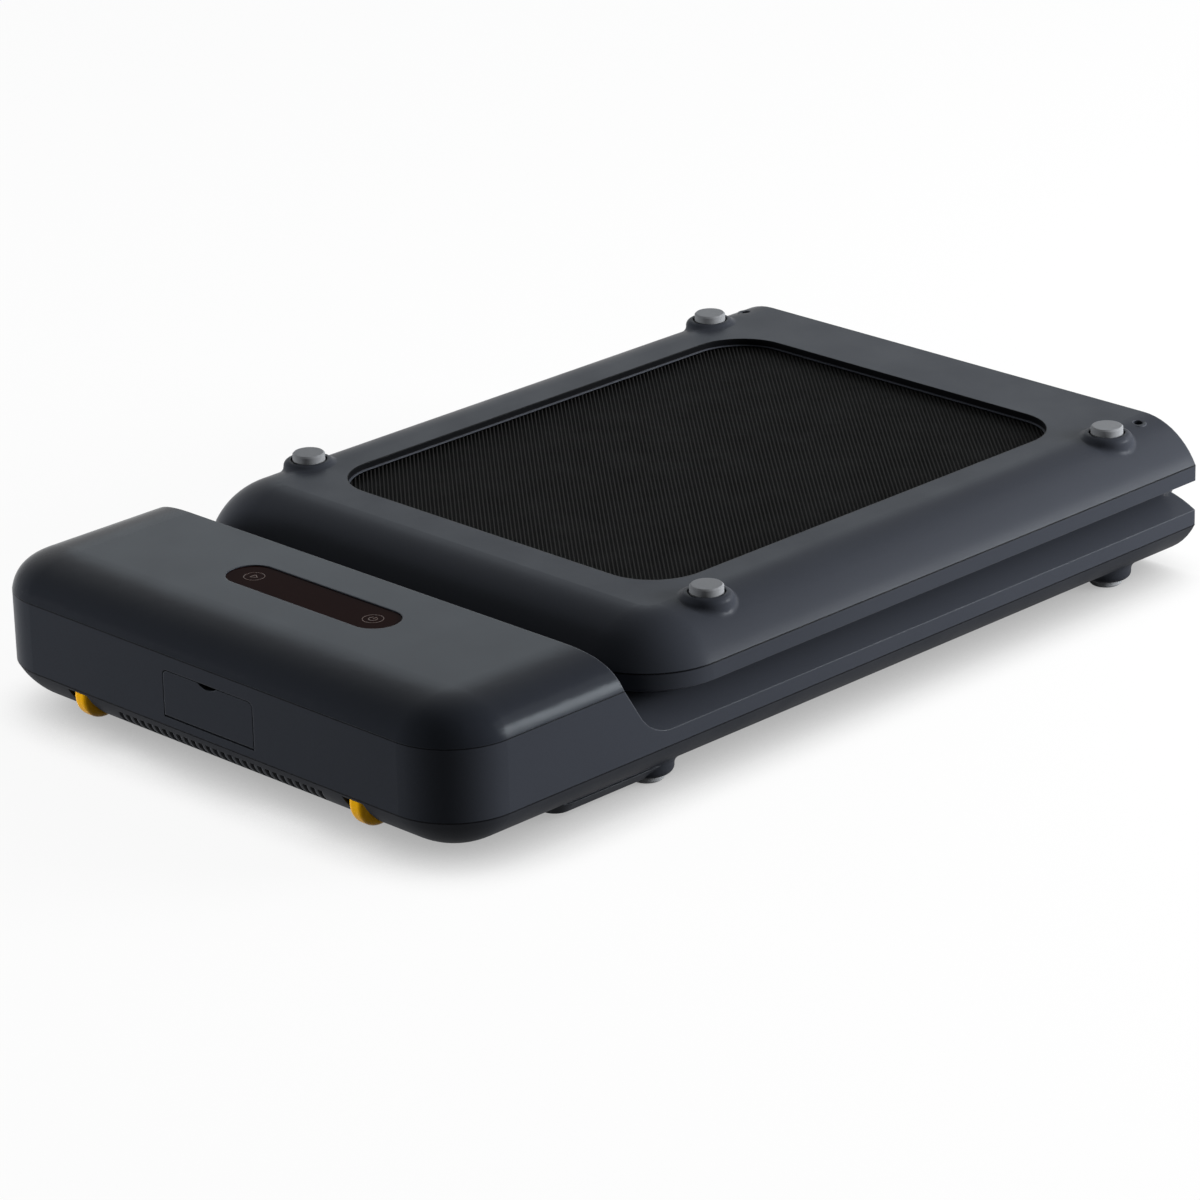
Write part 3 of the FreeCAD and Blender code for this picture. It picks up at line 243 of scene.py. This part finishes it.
def mouldedPlastic(name, s):
    finish, tree, shader = startFinish(name)
    cloud = toRange(tree, noiseAt(tree, s["cloudScale"], 2), 0, 1)
    speck = toRange(tree, noiseAt(tree, s["speckScale"], 2), 0, 1)
    shade = mixShades(tree, cloud, s["shade"], s["shadeTwo"])
    shade = mixShades(tree, calc(tree, "MULTIPLY", speck, s["speckle"]), shade, s["speckShade"])
    rounded = softEdge(tree, s["edgeRadius"])
    # sharp edges made paler: wear, and a painted edge highlight
    paleEdges = calc(tree, "MULTIPLY", edgeMask(tree, rounded), s["paleEdge"])
    shade = mixShades(tree, paleEdges, shade, s["paleEdgeShade"])
    # painted shadow lines along the parting seams and creases
    if s.get("seamShadowHeights"):
        seamShadow = seamMask(tree, s["seamShadowHeights"], s["seamShadowWidth"])
        shade = mixShades(tree, seamShadow, shade, s["seamPaintedShadow"])
    # painted shade on the window's inner wall, with a painted highlight line at the ledge height
    if s.get("ledge"):
        ledge = seamMask(tree, (s["ledge"],), windowPaintedShade["ledgeHighlightWidth"])
        paintedWall = mixShades(tree, ledge, windowPaintedShade["shade"], windowPaintedShade["ledgeHighlightShade"])
        shade = mixShades(tree, windowShadeMask(tree), shade, paintedWall)
    tree.links.new(shade, shader.inputs["Base Color"])
    smear = noiseAt(tree, s["smearScale"], 4)
    tree.links.new(toRange(tree, smear, *s["rough"]), shader.inputs["Roughness"])
    grain = noiseAt(tree, s["grainScale"], 2)
    tree.links.new(bumpFrom(tree, grain, s["grainDepth"], rounded), shader.inputs["Normal"])
    shader.inputs["Specular IOR Level"].default_value = s["specular"]
    shader.inputs["Specular Tint"].default_value = (*s["sheen"], 1)
    return finish


satinBody = {
    "cloudScale": 7,
    "speckScale": 1300,
    "smearScale": 22,
    "shade": (0.0250, 0.0275, 0.0340),
    "shadeTwo": (0.0270, 0.0296, 0.0364),
    "speckShade": (0.032, 0.037, 0.049),
    "speckle": 0.35,
    # paler sharp edges: wear, and a painted edge highlight
    "paleEdgeShade": (0.085, 0.092, 0.104),
    "paleEdge": 0.60,
    "edgeRadius": 0.0012,
    "rough": (0.29, 0.37),
    "grainScale": 1500,
    "grainDepth": 0.00003,
    "specular": 0.028,
    "sheen": (0.88, 0.95, 1.0),  # tint of the gloss
    # painted shadow in the parting seams
    "seamPaintedShadow": (0.004, 0.0045, 0.006),
    "seamShadowWidth": 0.0006,
}
bodyFront = mouldedPlastic("bodyPlasticFront", {**satinBody, "seamShadowHeights": (0.0415, 0.0986)})
bodyRear = mouldedPlastic("bodyPlasticRear", {**satinBody, "seamShadowHeights": (0.0925,), "ledge": 0.1198})
# body plastic made darker as painted shade on the downward-facing pan, and rougher
panPlasticPaintedShade = mouldedPlastic("panPlasticPaintedShade", {
    **satinBody,
    "shade": (0.0135, 0.0150, 0.0190),
    "shadeTwo": (0.0148, 0.0164, 0.0207),
    "speckShade": (0.020, 0.022, 0.028),
    "rough": (0.44, 0.54),
    "specular": 0.03,
    "seamShadowHeights": (0.0415,),
    "ledge": 0.0142,
})
doorPlastic = mouldedPlastic("doorPlastic", {**satinBody, "shadeTwo": (0.0262, 0.0288, 0.0354)})
coverPlastic = mouldedPlastic("coverPlastic", {
    **satinBody,
    "shade": (0.0148, 0.0168, 0.0220),
    "shadeTwo": (0.0160, 0.0181, 0.0236),
    "speckShade": (0.015, 0.019, 0.029),
    "speckle": 0.12,
    "rough": (0.20, 0.25),
    "grainScale": 500,
    "grainDepth": 0.000004,
    "specular": 0.04,
    "sheen": (0.80, 0.91, 1.0),
    "seamShadowHeights": (0.0986,),
    "seamShadowWidth": 0.0003,
})
blackPlastic = mouldedPlastic("blackPlastic", {
    **satinBody,
    "shade": (0.010, 0.010, 0.011),
    "shadeTwo": (0.013, 0.013, 0.014),
    "speckShade": (0.02, 0.02, 0.021),
    "paleEdgeShade": (0.04, 0.04, 0.042),
    "rough": (0.42, 0.55),
    "specular": 0.22,
    "sheen": (1.0, 1.0, 1.0),
})
print("plastics mixed")


# rubber, metal, wood and lens

rubberGrain = {
    "cloudScale": 30,
    "dustScale": 700,
    "edgeRadius": 0.0005,
}


def rubberFinish(name, s):
    finish, tree, shader = startFinish(name)
    cloud = toRange(tree, noiseAt(tree, rubberGrain["cloudScale"], 4), 0, 1)
    dust = toRange(tree, noiseAt(tree, rubberGrain["dustScale"], 3), 0, 1)
    shade = mixShades(tree, cloud, s["shade"], s["shadeTwo"])
    shade = mixShades(tree, calc(tree, "MULTIPLY", dust, s["dust"]), shade, s["dustShade"])
    rounded = softEdge(tree, rubberGrain["edgeRadius"])
    paleEdges = calc(tree, "MULTIPLY", edgeMask(tree, rounded), s["paleEdge"])
    tree.links.new(mixShades(tree, paleEdges, shade, s["paleEdgeShade"]), shader.inputs["Base Color"])
    tree.links.new(toRange(tree, cloud, *s["rough"], 0, 1), shader.inputs["Roughness"])
    grain = noiseAt(tree, s["grainScale"], 4)
    tree.links.new(bumpFrom(tree, grain, s["grainDepth"], rounded), shader.inputs["Normal"])
    shader.inputs["Specular IOR Level"].default_value = s["specular"]
    return finish


# near black: painted shade on the belt between the ribs
beltRubberPaintedShade = rubberFinish("beltRubberPaintedShade", {
    "shade": (0.0008, 0.0008, 0.0008),
    "shadeTwo": (0.0013, 0.0013, 0.0013),
    "dust": 0.15,
    "dustShade": (0.006, 0.006, 0.006),
    "paleEdge": 0.4,
    "paleEdgeShade": (0.018, 0.018, 0.018),
    "rough": (0.5, 0.62),
    "grainScale": 1800,
    "grainDepth": 0.00005,
    "specular": 0.008,
})
# lighter than the belt: painted highlight on the ribs
ribRubberPaintedLight = rubberFinish("ribRubberPaintedLight", {
    "shade": (0.0098, 0.0098, 0.0098),
    "shadeTwo": (0.0122, 0.0122, 0.0122),
    "dust": 0.25,
    "dustShade": (0.017, 0.017, 0.017),
    "paleEdge": 0.3,
    "paleEdgeShade": (0.020, 0.020, 0.020),
    "rough": (0.5, 0.62),
    "grainScale": 1800,
    "grainDepth": 0.00004,
    "specular": 0.008,
})
footRubber = rubberFinish("footRubber", {
    "shade": (0.140, 0.147, 0.157),
    "shadeTwo": (0.165, 0.172, 0.183),
    "dust": 0.3,
    "dustShade": (0.21, 0.218, 0.226),
    "paleEdge": 0.3,
    "paleEdgeShade": (0.26, 0.27, 0.28),
    "rough": (0.6, 0.75),
    "grainScale": 900,
    "grainDepth": 0.00006,
    "specular": 0.2,
})
wheelYellow = rubberFinish("wheelYellow", {
    "shade": (0.86, 0.42, 0.001),
    "shadeTwo": (0.92, 0.47, 0.003),
    "dust": 0.05,
    "dustShade": (0.55, 0.29, 0.02),
    "paleEdge": 0.2,
    "paleEdgeShade": (0.96, 0.56, 0.02),
    "rough": (0.32, 0.42),
    "grainScale": 600,
    "grainDepth": 0.00003,
    "specular": 0.10,
})


metalGrain = {
    "rough": 0.6,  # of the streaks' own noise
    "edgeRadius": 0.0004,
}


def metalFinish(name, s):
    finish, tree, shader = startFinish(name)
    noise = noiseAt(tree, s["streakScale"], 3, metalGrain["rough"], s["stretch"])
    streak = toRange(tree, noise, 0, 1)
    tree.links.new(mixShades(tree, streak, s["shade"], s["shadeTwo"]), shader.inputs["Base Color"])
    tree.links.new(toRange(tree, streak, *s["rough"], 0, 1), shader.inputs["Roughness"])
    rounded = softEdge(tree, metalGrain["edgeRadius"])
    tree.links.new(bumpFrom(tree, streak, s["depth"], rounded), shader.inputs["Normal"])
    shader.inputs["Metallic"].default_value = s["metallic"]
    shader.inputs["Specular IOR Level"].default_value = s["specular"]
    return finish


turnedSteel = metalFinish("turnedSteel", {
    "shade": (0.46, 0.46, 0.47),
    "shadeTwo": (0.60, 0.60, 0.61),
    "streakScale": 90,
    "stretch": (12, 1, 1),
    "rough": (0.26, 0.40),
    "depth": 0.00002,
    "metallic": 1.0,
    "specular": 0.5,
})
powderCoat = metalFinish("powderCoat", {
    "shade": (0.018, 0.018, 0.020),
    "shadeTwo": (0.026, 0.026, 0.029),
    "streakScale": 1100,
    "stretch": (1, 1, 1),
    "rough": (0.45, 0.6),
    "depth": 0.00008,
    "metallic": 0.0,
    "specular": 0.35,
})
motorPaint = metalFinish("motorPaint", {
    "shade": (0.022, 0.022, 0.024),
    "shadeTwo": (0.032, 0.032, 0.035),
    "streakScale": 600,
    "stretch": (1, 1, 1),
    "rough": (0.3, 0.42),
    "depth": 0.00004,
    "metallic": 0.0,
    "specular": 0.4,
})
guideSteel = metalFinish("guideSteel", {
    "shade": (0.045, 0.045, 0.048),
    "shadeTwo": (0.065, 0.065, 0.069),
    "streakScale": 90,
    "stretch": (12, 1, 1),
    "rough": (0.38, 0.50),
    "depth": 0.00002,
    "metallic": 1.0,
    "specular": 0.5,
})
brassContact = metalFinish("brassContact", {
    "shade": (0.58, 0.40, 0.14),
    "shadeTwo": (0.70, 0.52, 0.22),
    "streakScale": 400,
    "stretch": (1, 6, 1),
    "rough": (0.25, 0.4),
    "depth": 0.00002,
    "metallic": 1.0,
    "specular": 0.5,
})
sinkAlloy = metalFinish("sinkAlloy", {
    "shade": (0.52, 0.53, 0.54),
    "shadeTwo": (0.66, 0.67, 0.68),
    "streakScale": 120,
    "stretch": (1, 14, 14),
    "rough": (0.35, 0.5),
    "depth": 0.00002,
    "metallic": 1.0,
    "specular": 0.5,
})

deckLook = {
    "shade": (0.020, 0.016, 0.012),
    "shadeTwo": (0.045, 0.034, 0.024),
    "grainScale": 40,
    "grainRough": 0.6,
    "stretch": (12, 1, 20),
    "grainDepth": 0.0001,
    "rough": (0.5, 0.7),
    "specular": 0.3,
}


def deckFinish(s):
    finish, tree, shader = startFinish("deckLaminate")
    noise = noiseAt(tree, s["grainScale"], 5, s["grainRough"], s["stretch"])
    fibre = toRange(tree, noise, 0, 1)
    tree.links.new(mixShades(tree, fibre, s["shade"], s["shadeTwo"]), shader.inputs["Base Color"])
    tree.links.new(toRange(tree, fibre, *s["rough"], 0, 1), shader.inputs["Roughness"])
    tree.links.new(bumpFrom(tree, fibre, s["grainDepth"]), shader.inputs["Normal"])
    shader.inputs["Specular IOR Level"].default_value = s["specular"]
    return finish


deckLaminate = deckFinish(deckLook)

lensLook = {
    "cloudScale": 14,
    "shade": (0.0105, 0.0028, 0.0020),
    "shadeTwo": (0.0125, 0.0036, 0.0026),
    "dustScale": 1600,
    "dust": 0.35,
    "dustFrom": (0.6, 0.8),  # part of the noise that counts as dust
    "dustShade": (0.02, 0.016, 0.015),
    "rough": (0.10, 0.16),
    "specular": 0.0015,
}


def lensFinish(s):
    finish, tree, shader = startFinish("tintedLens")
    cloud = toRange(tree, noiseAt(tree, s["cloudScale"], 3), 0, 1)
    dust = toRange(tree, noiseAt(tree, s["dustScale"], 2), 0, s["dust"], *s["dustFrom"])
    shade = mixShades(tree, cloud, s["shade"], s["shadeTwo"])
    tree.links.new(mixShades(tree, dust, shade, s["dustShade"]), shader.inputs["Base Color"])
    tree.links.new(toRange(tree, cloud, *s["rough"], 0, 1), shader.inputs["Roughness"])
    shader.inputs["Specular IOR Level"].default_value = s["specular"]
    return finish


tintedLens = lensFinish(lensLook)

iconLook = {
    "dotScale": 2400,
    "shade": (0.075, 0.046, 0.037),
    "shadeTwo": (0.095, 0.060, 0.048),
    "rough": (0.4, 0.55),
    "specular": 0.15,
}


def iconFinish(s):
    finish, tree, shader = startFinish("iconPrint")
    dots = toRange(tree, noiseAt(tree, s["dotScale"], 2), 0, 1)
    tree.links.new(mixShades(tree, dots, s["shade"], s["shadeTwo"]), shader.inputs["Base Color"])
    tree.links.new(toRange(tree, dots, *s["rough"], 0, 1), shader.inputs["Roughness"])
    shader.inputs["Specular IOR Level"].default_value = s["specular"]
    return finish


iconPrint = iconFinish(iconLook)
print("rubber, metal, wood and lens mixed")


# finishes for the carried-over nodes: by node first, then by slot

finishOf = {
    "inlet_door": doorPlastic,
    "front_bottom_pan": panPlasticPaintedShade,
    "rear_bottom_cover": bodyRear,
    "rear_body_frame": bodyRear,
    "front_idler_roller": guideSteel,
    "front_guide_roller": guideSteel,
    "rear_idler_roller": guideSteel,
    "rear_guide_roller": guideSteel,
}
finishOfSlot = {
    "body_plastic": bodyFront,
    "cover_plastic": coverPlastic,
    "display_glass": tintedLens,
    "black_plastic": blackPlastic,
    "steel": powderCoat,
    "bright_steel": turnedSteel,
    "brass": brassContact,
    "motor_paint": motorPaint,
    "alloy": sinkAlloy,
    "deck_wood": deckLaminate,
    "belt_rubber": beltRubberPaintedShade,
    "foot_rubber": footRubber,
    "wheel_yellow": wheelYellow,
}
for part in frame["record"]["subparts"]:
    name = part["node"]
    finish = finishOf.get(name, finishOfSlot[part["material_slot"]])
    mesh = nodes[name].data
    mesh.materials.clear()
    mesh.materials.append(finish)
print("nodes dressed")


def addPiece(name, mesh, finish):
    mesh.materials.append(finish)
    piece = bpy.data.objects.new(name, mesh)
    scene.collection.objects.link(piece)
    return piece


# ribbed faces of the walking belt

ribs = {
    "pitch": 0.00317,
    "base": 0.0018,  # width where a rib leaves the belt
    "top": 0.0011,
    "height": 0.0008,
    "shoulder": 0.8,  # share of the height where the flanks end
    "sink": 0.0002,  # into the belt's face
    "edge": 0.0015,  # plain margin along the belt's edges
    "hingeGap": 0.0005,
    "slant": (0.748, -0.663),
}
hingeAt = frame["joints"][0]["pos_m"]
hingeY = hingeAt[1]
foldZ = hingeAt[2]


def ribbedFace(name, body, face, outward, yRange, slant):
    low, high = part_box(face)
    z = high.z if outward > 0 else low.z
    x = high.x - ribs["edge"]
    base = ribs["base"] / 2
    top = ribs["top"] / 2
    shoulder = ribs["height"] * ribs["shoulder"]
    along = Vector((slant[0], slant[1], 0)).normalized()
    across = Vector((-along.y, along.x, 0))
    corners = [Vector((sx * x, y, 0)) for sx in (-1, 1) for y in yRange]
    centre = Vector((0, sum(yRange) / 2, 0))
    reach = max((c - centre).length for c in corners)
    count = int(max(abs((c - centre).dot(across)) for c in corners) / ribs["pitch"])
    profile = (
        (-base, -ribs["sink"]),
        (base, -ribs["sink"]),
        (base, 0.0),
        (top, shoulder),
        (top / 2, ribs["height"]),
        (-top / 2, ribs["height"]),
        (-top, shoulder),
        (-base, 0.0),
    )
    size = len(profile)
    built = bmesh.new()
    for index in range(-count, count + 1):
        middle = centre + across * (index * ribs["pitch"])
        rings = []
        for end in (-reach, reach):
            spot = middle + along * end
            ring = [spot + across * a + Vector((0, 0, z + outward * h)) for a, h in profile]
            rings.append([built.verts.new(corner) for corner in ring])
        near, far = rings
        for k in range(size):
            after = (k + 1) % size
            built.faces.new((near[k], near[after], far[after], far[k]))
        built.faces.new(near[::-1])
        built.faces.new(far)
    cuts = (
        (Vector((x, 0, 0)), Vector((1, 0, 0))),
        (Vector((-x, 0, 0)), Vector((-1, 0, 0))),
        (Vector((0, max(yRange), 0)), Vector((0, 1, 0))),
        (Vector((0, min(yRange), 0)), Vector((0, -1, 0))),
    )
    for spot, normal in cuts:
        bmesh.ops.bisect_plane(
            built,
            geom=built.verts[:] + built.edges[:] + built.faces[:],
            plane_co=spot,
            plane_no=normal,
            clear_outer=True,
        )
        cutEdges = [edge for edge in built.edges if edge.is_boundary]
        bmesh.ops.holes_fill(built, edges=cutEdges, sides=0)
    bmesh.ops.recalc_face_normals(built, faces=built.faces[:])
    mesh = bpy.data.meshes.new(name)
    built.to_mesh(mesh)
    built.free()
    piece = addPiece(name, mesh, ribRubberPaintedLight)
    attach(piece, body)


def beltRun(roller, idler):
    # from the middle of the roller to the middle of the idler
    rollerLow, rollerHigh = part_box(roller)
    idlerLow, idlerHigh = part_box(idler)
    return (rollerLow.y + rollerHigh.y) / 2, (idlerLow.y + idlerHigh.y) / 2


frontStart, frontEnd = beltRun("front_roller", "front_idler_roller")
rearStart, rearEnd = beltRun("rear_roller", "rear_idler_roller")
walkEnd = hingeY - ribs["hingeGap"]
ribsDown = ribs["slant"]
ribsUp = (ribsDown[0], -ribsDown[1])
rearBelt = ("rear_half", "walking_belt_rear")
frontBelt = ("front_half", "walking_belt_front")
ribbedFace("beltRibsRearReturn", *rearBelt, 1, (rearStart, rearEnd), ribsDown)
ribbedFace("beltRibsRearWalk", *rearBelt, -1, (rearStart, walkEnd), ribsUp)
ribbedFace("beltRibsFrontReturn", *frontBelt, -1, (frontStart, frontEnd), ribsUp)
ribbedFace("beltRibsFrontWalk", *frontBelt, 1, (frontStart, walkEnd), ribsDown)
print("belt ribs cut")


# the belt's two bends at the hinge, as fixed half rings; on the real pad they close up as it opens

bend = {
    "steps": 28,
    "spans": 8,
    "deckGap": 0.0003,  # between the belt and the deck board under it
}


def beltBend(name, node):
    low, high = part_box(node)
    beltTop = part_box("walking_belt_front")[1].z
    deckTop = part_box("front_deck_board")[1].z
    outer = high.y - hingeY
    inner = outer - (beltTop - deckTop - bend["deckGap"])
    built = bmesh.new()
    rows = []
    for step in range(bend["steps"] + 1):
        angle = -math.pi / 2 + math.pi * step / bend["steps"]
        row = []
        for radius in (inner, outer):
            y = hingeY + radius * math.cos(angle)
            z = foldZ + radius * math.sin(angle)
            for span in range(bend["spans"] + 1):
                x = low.x + (high.x - low.x) * span / bend["spans"]
                row.append(built.verts.new((x, y, z)))
        rows.append(row)
    width = bend["spans"] + 1
    for a, b in zip(rows, rows[1:]):
        for k in range(width - 1):
            built.faces.new((a[k], b[k], b[k + 1], a[k + 1]))
            built.faces.new((a[width + k], a[width + k + 1], b[width + k + 1], b[width + k]))
        built.faces.new((a[0], a[width], b[width], b[0]))
        built.faces.new((a[width - 1], b[width - 1], b[-1], a[-1]))
    for row in (rows[0], rows[-1]):
        for k in range(width - 1):
            built.faces.new((row[k], row[k + 1], row[width + k + 1], row[width + k]))
    bmesh.ops.recalc_face_normals(built, faces=built.faces[:])
    mesh = bpy.data.meshes.new(name)
    built.to_mesh(mesh)
    built.free()
    mesh.polygons.foreach_set("use_smooth", [True] * len(mesh.polygons))
    piece = addPiece(name, mesh, beltRubberPaintedShade)
    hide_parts(node)
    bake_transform(piece)


beltBend("beltBendInner", "belt_fold_inner")
beltBend("beltBendOuter", "belt_fold_outer")
print("belt bends made")


# touch icons printed on the display lens

icons = {
    "x": 0.0655,
    "ringOuter": 0.0082,
    "ringLine": 0.0005,
    "line": 0.0007,
    "lift": 0.00006,
    "sink": 0.0001,  # into the lens
    "triangle": 0.42,  # shares of the ring's radius
    "powerRing": 0.36,
    "powerBar": 0.5,
    "powerGap": 38,  # degrees each side of the bar
    "steps": 64,
}


def flatLoop(built, outline, z0, z1):
    # closed flat prism from a list of (x, y)
    lower = [built.verts.new((x, y, z0)) for x, y in outline]
    upper = [built.verts.new((x, y, z1)) for x, y in outline]
    size = len(outline)
    for k in range(size):
        after = (k + 1) % size
        built.faces.new((lower[k], lower[after], upper[after], upper[k]))
    built.faces.new(upper)
    built.faces.new(lower[::-1])


def arcBand(built, centre, inner, outer, start, end, z0, z1):
    # flat ring, or a part of one with closed ends
    steps = max(6, int(icons["steps"] * (end - start) / (2 * math.pi)))
    closed = end - start > 2 * math.pi - 1e-6
    rows = []
    for step in range(steps if closed else steps + 1):
        angle = start + (end - start) * step / steps
        c = math.cos(angle)
        s = math.sin(angle)
        spots = ((inner, z0), (outer, z0), (outer, z1), (inner, z1))
        row = [(centre[0] + r * c, centre[1] + r * s, z) for r, z in spots]
        rows.append([built.verts.new(spot) for spot in row])
    follow = rows[1:] + rows[:1] if closed else rows[1:]
    for a, b in zip(rows, follow):
        for k in range(4):
            built.faces.new((a[k], a[(k + 1) % 4], b[(k + 1) % 4], b[k]))
    if not closed:
        built.faces.new(rows[0][::-1])
        built.faces.new(rows[-1])


def touchIcons():
    low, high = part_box("display_window")
    z0 = high.z - icons["sink"]
    z1 = high.z + icons["lift"]
    y = (low.y + high.y) / 2
    outer = icons["ringOuter"]
    line = icons["line"]
    for name, x in (("iconStart", -icons["x"]), ("iconPower", icons["x"])):
        built = bmesh.new()
        arcBand(built, (x, y), outer - icons["ringLine"], outer, 0, 2 * math.pi, z0, z1)
        if name == "iconStart":
            radius = outer * icons["triangle"]
            turns = [math.radians(120 * corner) for corner in range(4)]
            tips = [Vector((x + radius * math.cos(t), y + radius * math.sin(t))) for t in turns]
            for tip, after in zip(tips, tips[1:]):
                side = (after - tip).normalized().orthogonal() * (line / 2)
                outline = [tip + side, after + side, after - side, tip - side]
                flatLoop(built, [tuple(spot) for spot in outline], z0, z1)
        else:
            gap = math.radians(icons["powerGap"])
            start = math.pi / 2 + gap
            end = math.pi / 2 + 2 * math.pi - gap
            radius = outer * icons["powerRing"]
            arcBand(built, (x, y), radius, radius + line, start, end, z0, z1)
            left = x - line / 2
            right = x + line / 2
            barTop = y + outer * icons["powerBar"]
            flatLoop(built, [(left, y), (right, y), (right, barTop), (left, barTop)], z0, z1)
        bmesh.ops.recalc_face_normals(built, faces=built.faces[:])
        mesh = bpy.data.meshes.new(name)
        built.to_mesh(mesh)
        built.free()
        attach(addPiece(name, mesh, iconPrint), "front_half")


touchIcons()
print("touch icons printed")


# floor, world and lamps

studio = {
    "floorSize": 16.0,
    "floorShade": (0.94, 0.94, 0.94),
    "floorShadeTwo": (0.9494, 0.9494, 0.9494),
    "floorDrift": 3,  # scale of the drift between the two shades
    "floorRough": 0.9,
    "floorBounce": (0.26, 0.26, 0.26),  # what the floor sends back up at the pad
    "floorGlow": 0.93,  # share of plain white in what is seen of the floor
    "paintedShadowReach": 0.07,  # how far out the painted soft shadow round the pad goes
    "paintedShadowShade": 0.38,
    "paintedShadowFrom": (0.05, 0.78),  # openness that is darkest, and that is plain
    "ambient": 0.09,
    "aim": (0, 0, 0.06),
    "softboxes": {  # place, width, height, power, shown in reflections, tint
        "topSoftbox": ((-0.2, 0.9, 2.6), 2.4, 2.4, 8, False, (1, 1, 1)),
        "backSoftbox": ((1.60, 2.80, 1.80), 4.0, 2.0, 84, True, (1, 1, 1)),
        "rightSoftbox": ((2.0, 1.8, 0.62), 1.4, 0.8, 142, True, (1, 1, 1)),
        "leftSoftbox": ((-2.3, -1.9, 0.30), 1.2, 0.5, 80, False, (1, 1, 1)),
        "sheenSoftbox": ((-2.3, 2.3, 1.45), 1.8, 0.9, 6, True, (0.76, 0.90, 1)),
    },
}


def seenRays(tree):
    # 1 for rays that show the floor or the world, 0 for rays that only light the pad
    path = addNode(tree, "ShaderNodeLightPath")
    shown = calc(tree, "MAXIMUM", path.outputs["Is Camera Ray"], path.outputs["Is Glossy Ray"])
    return calc(tree, "MAXIMUM", shown, path.outputs["Is Transmission Ray"])


def floorFinish():
    finish, tree, shader = startFinish("paleFloor")
    drift = toRange(tree, noiseAt(tree, studio["floorDrift"], 2), 0, 1)
    seen = mixShades(tree, drift, studio["floorShade"], studio["floorShadeTwo"])
    shade = mixShades(tree, seenRays(tree), studio["floorBounce"], seen)
    tree.links.new(shade, shader.inputs["Base Color"])
    shader.inputs["Roughness"].default_value = studio["floorRough"]
    shader.inputs["Specular IOR Level"].default_value = 0.0
    # ambient occlusion near the pad dims the floor's glow: a painted contact shadow
    nearPad = addNode(tree, "ShaderNodeAmbientOcclusion", samples=12, Distance=studio["paintedShadowReach"])
    paintedShadow = toRange(tree, nearPad.outputs["AO"], studio["paintedShadowShade"], 1.0, *studio["paintedShadowFrom"])
    glow = addNode(tree, "ShaderNodeEmission")
    tree.links.new(paintedShadow, glow.inputs["Strength"])
    both = addNode(tree, "ShaderNodeMixShader")
    tree.links.new(calc(tree, "MULTIPLY", seenRays(tree), studio["floorGlow"]), both.inputs[0])
    tree.links.new(shader.outputs[0], both.inputs[1])
    tree.links.new(glow.outputs[0], both.inputs[2])
    tree.links.new(both.outputs[0], tree.nodes["Material Output"].inputs["Surface"])
    return finish


def layFloor():
    half = studio["floorSize"] / 2
    corners = [(-half, -half, 0), (half, -half, 0), (half, half, 0), (-half, half, 0)]
    mesh = bpy.data.meshes.new("paleFloor")
    mesh.from_pydata(corners, [], [(0, 1, 2, 3)])
    mesh.materials.append(floorFinish())
    floor = bpy.data.objects.new("paleFloor", mesh)
    scene.collection.objects.link(floor)


def lightWorld():
    world = bpy.data.worlds.new("paleStudio")
    world.use_nodes = True
    scene.world = world
    tree = world.node_tree
    strength = toRange(tree, seenRays(tree), studio["ambient"], 1.0, 0, 1)
    background = tree.nodes["Background"]
    background.inputs["Color"].default_value = (1, 1, 1, 1)
    tree.links.new(strength, background.inputs["Strength"])


def addSoftbox(name, place, width, height, power, shown, tint):
    data = bpy.data.lights.new(name, "AREA")
    data.shape = "RECTANGLE"
    data.size = width
    data.size_y = height
    data.energy = power
    data.color = tint
    lamp = bpy.data.objects.new(name, data)
    lamp.location = place
    lamp.visible_glossy = shown
    toPad = Vector(studio["aim"]) - Vector(place)
    lamp.rotation_euler = toPad.to_track_quat("-Z", "Y").to_euler()
    scene.collection.objects.link(lamp)


layFloor()
lightWorld()
for name, settings in studio["softboxes"].items():
    addSoftbox(name, *settings)
print("studio lit")
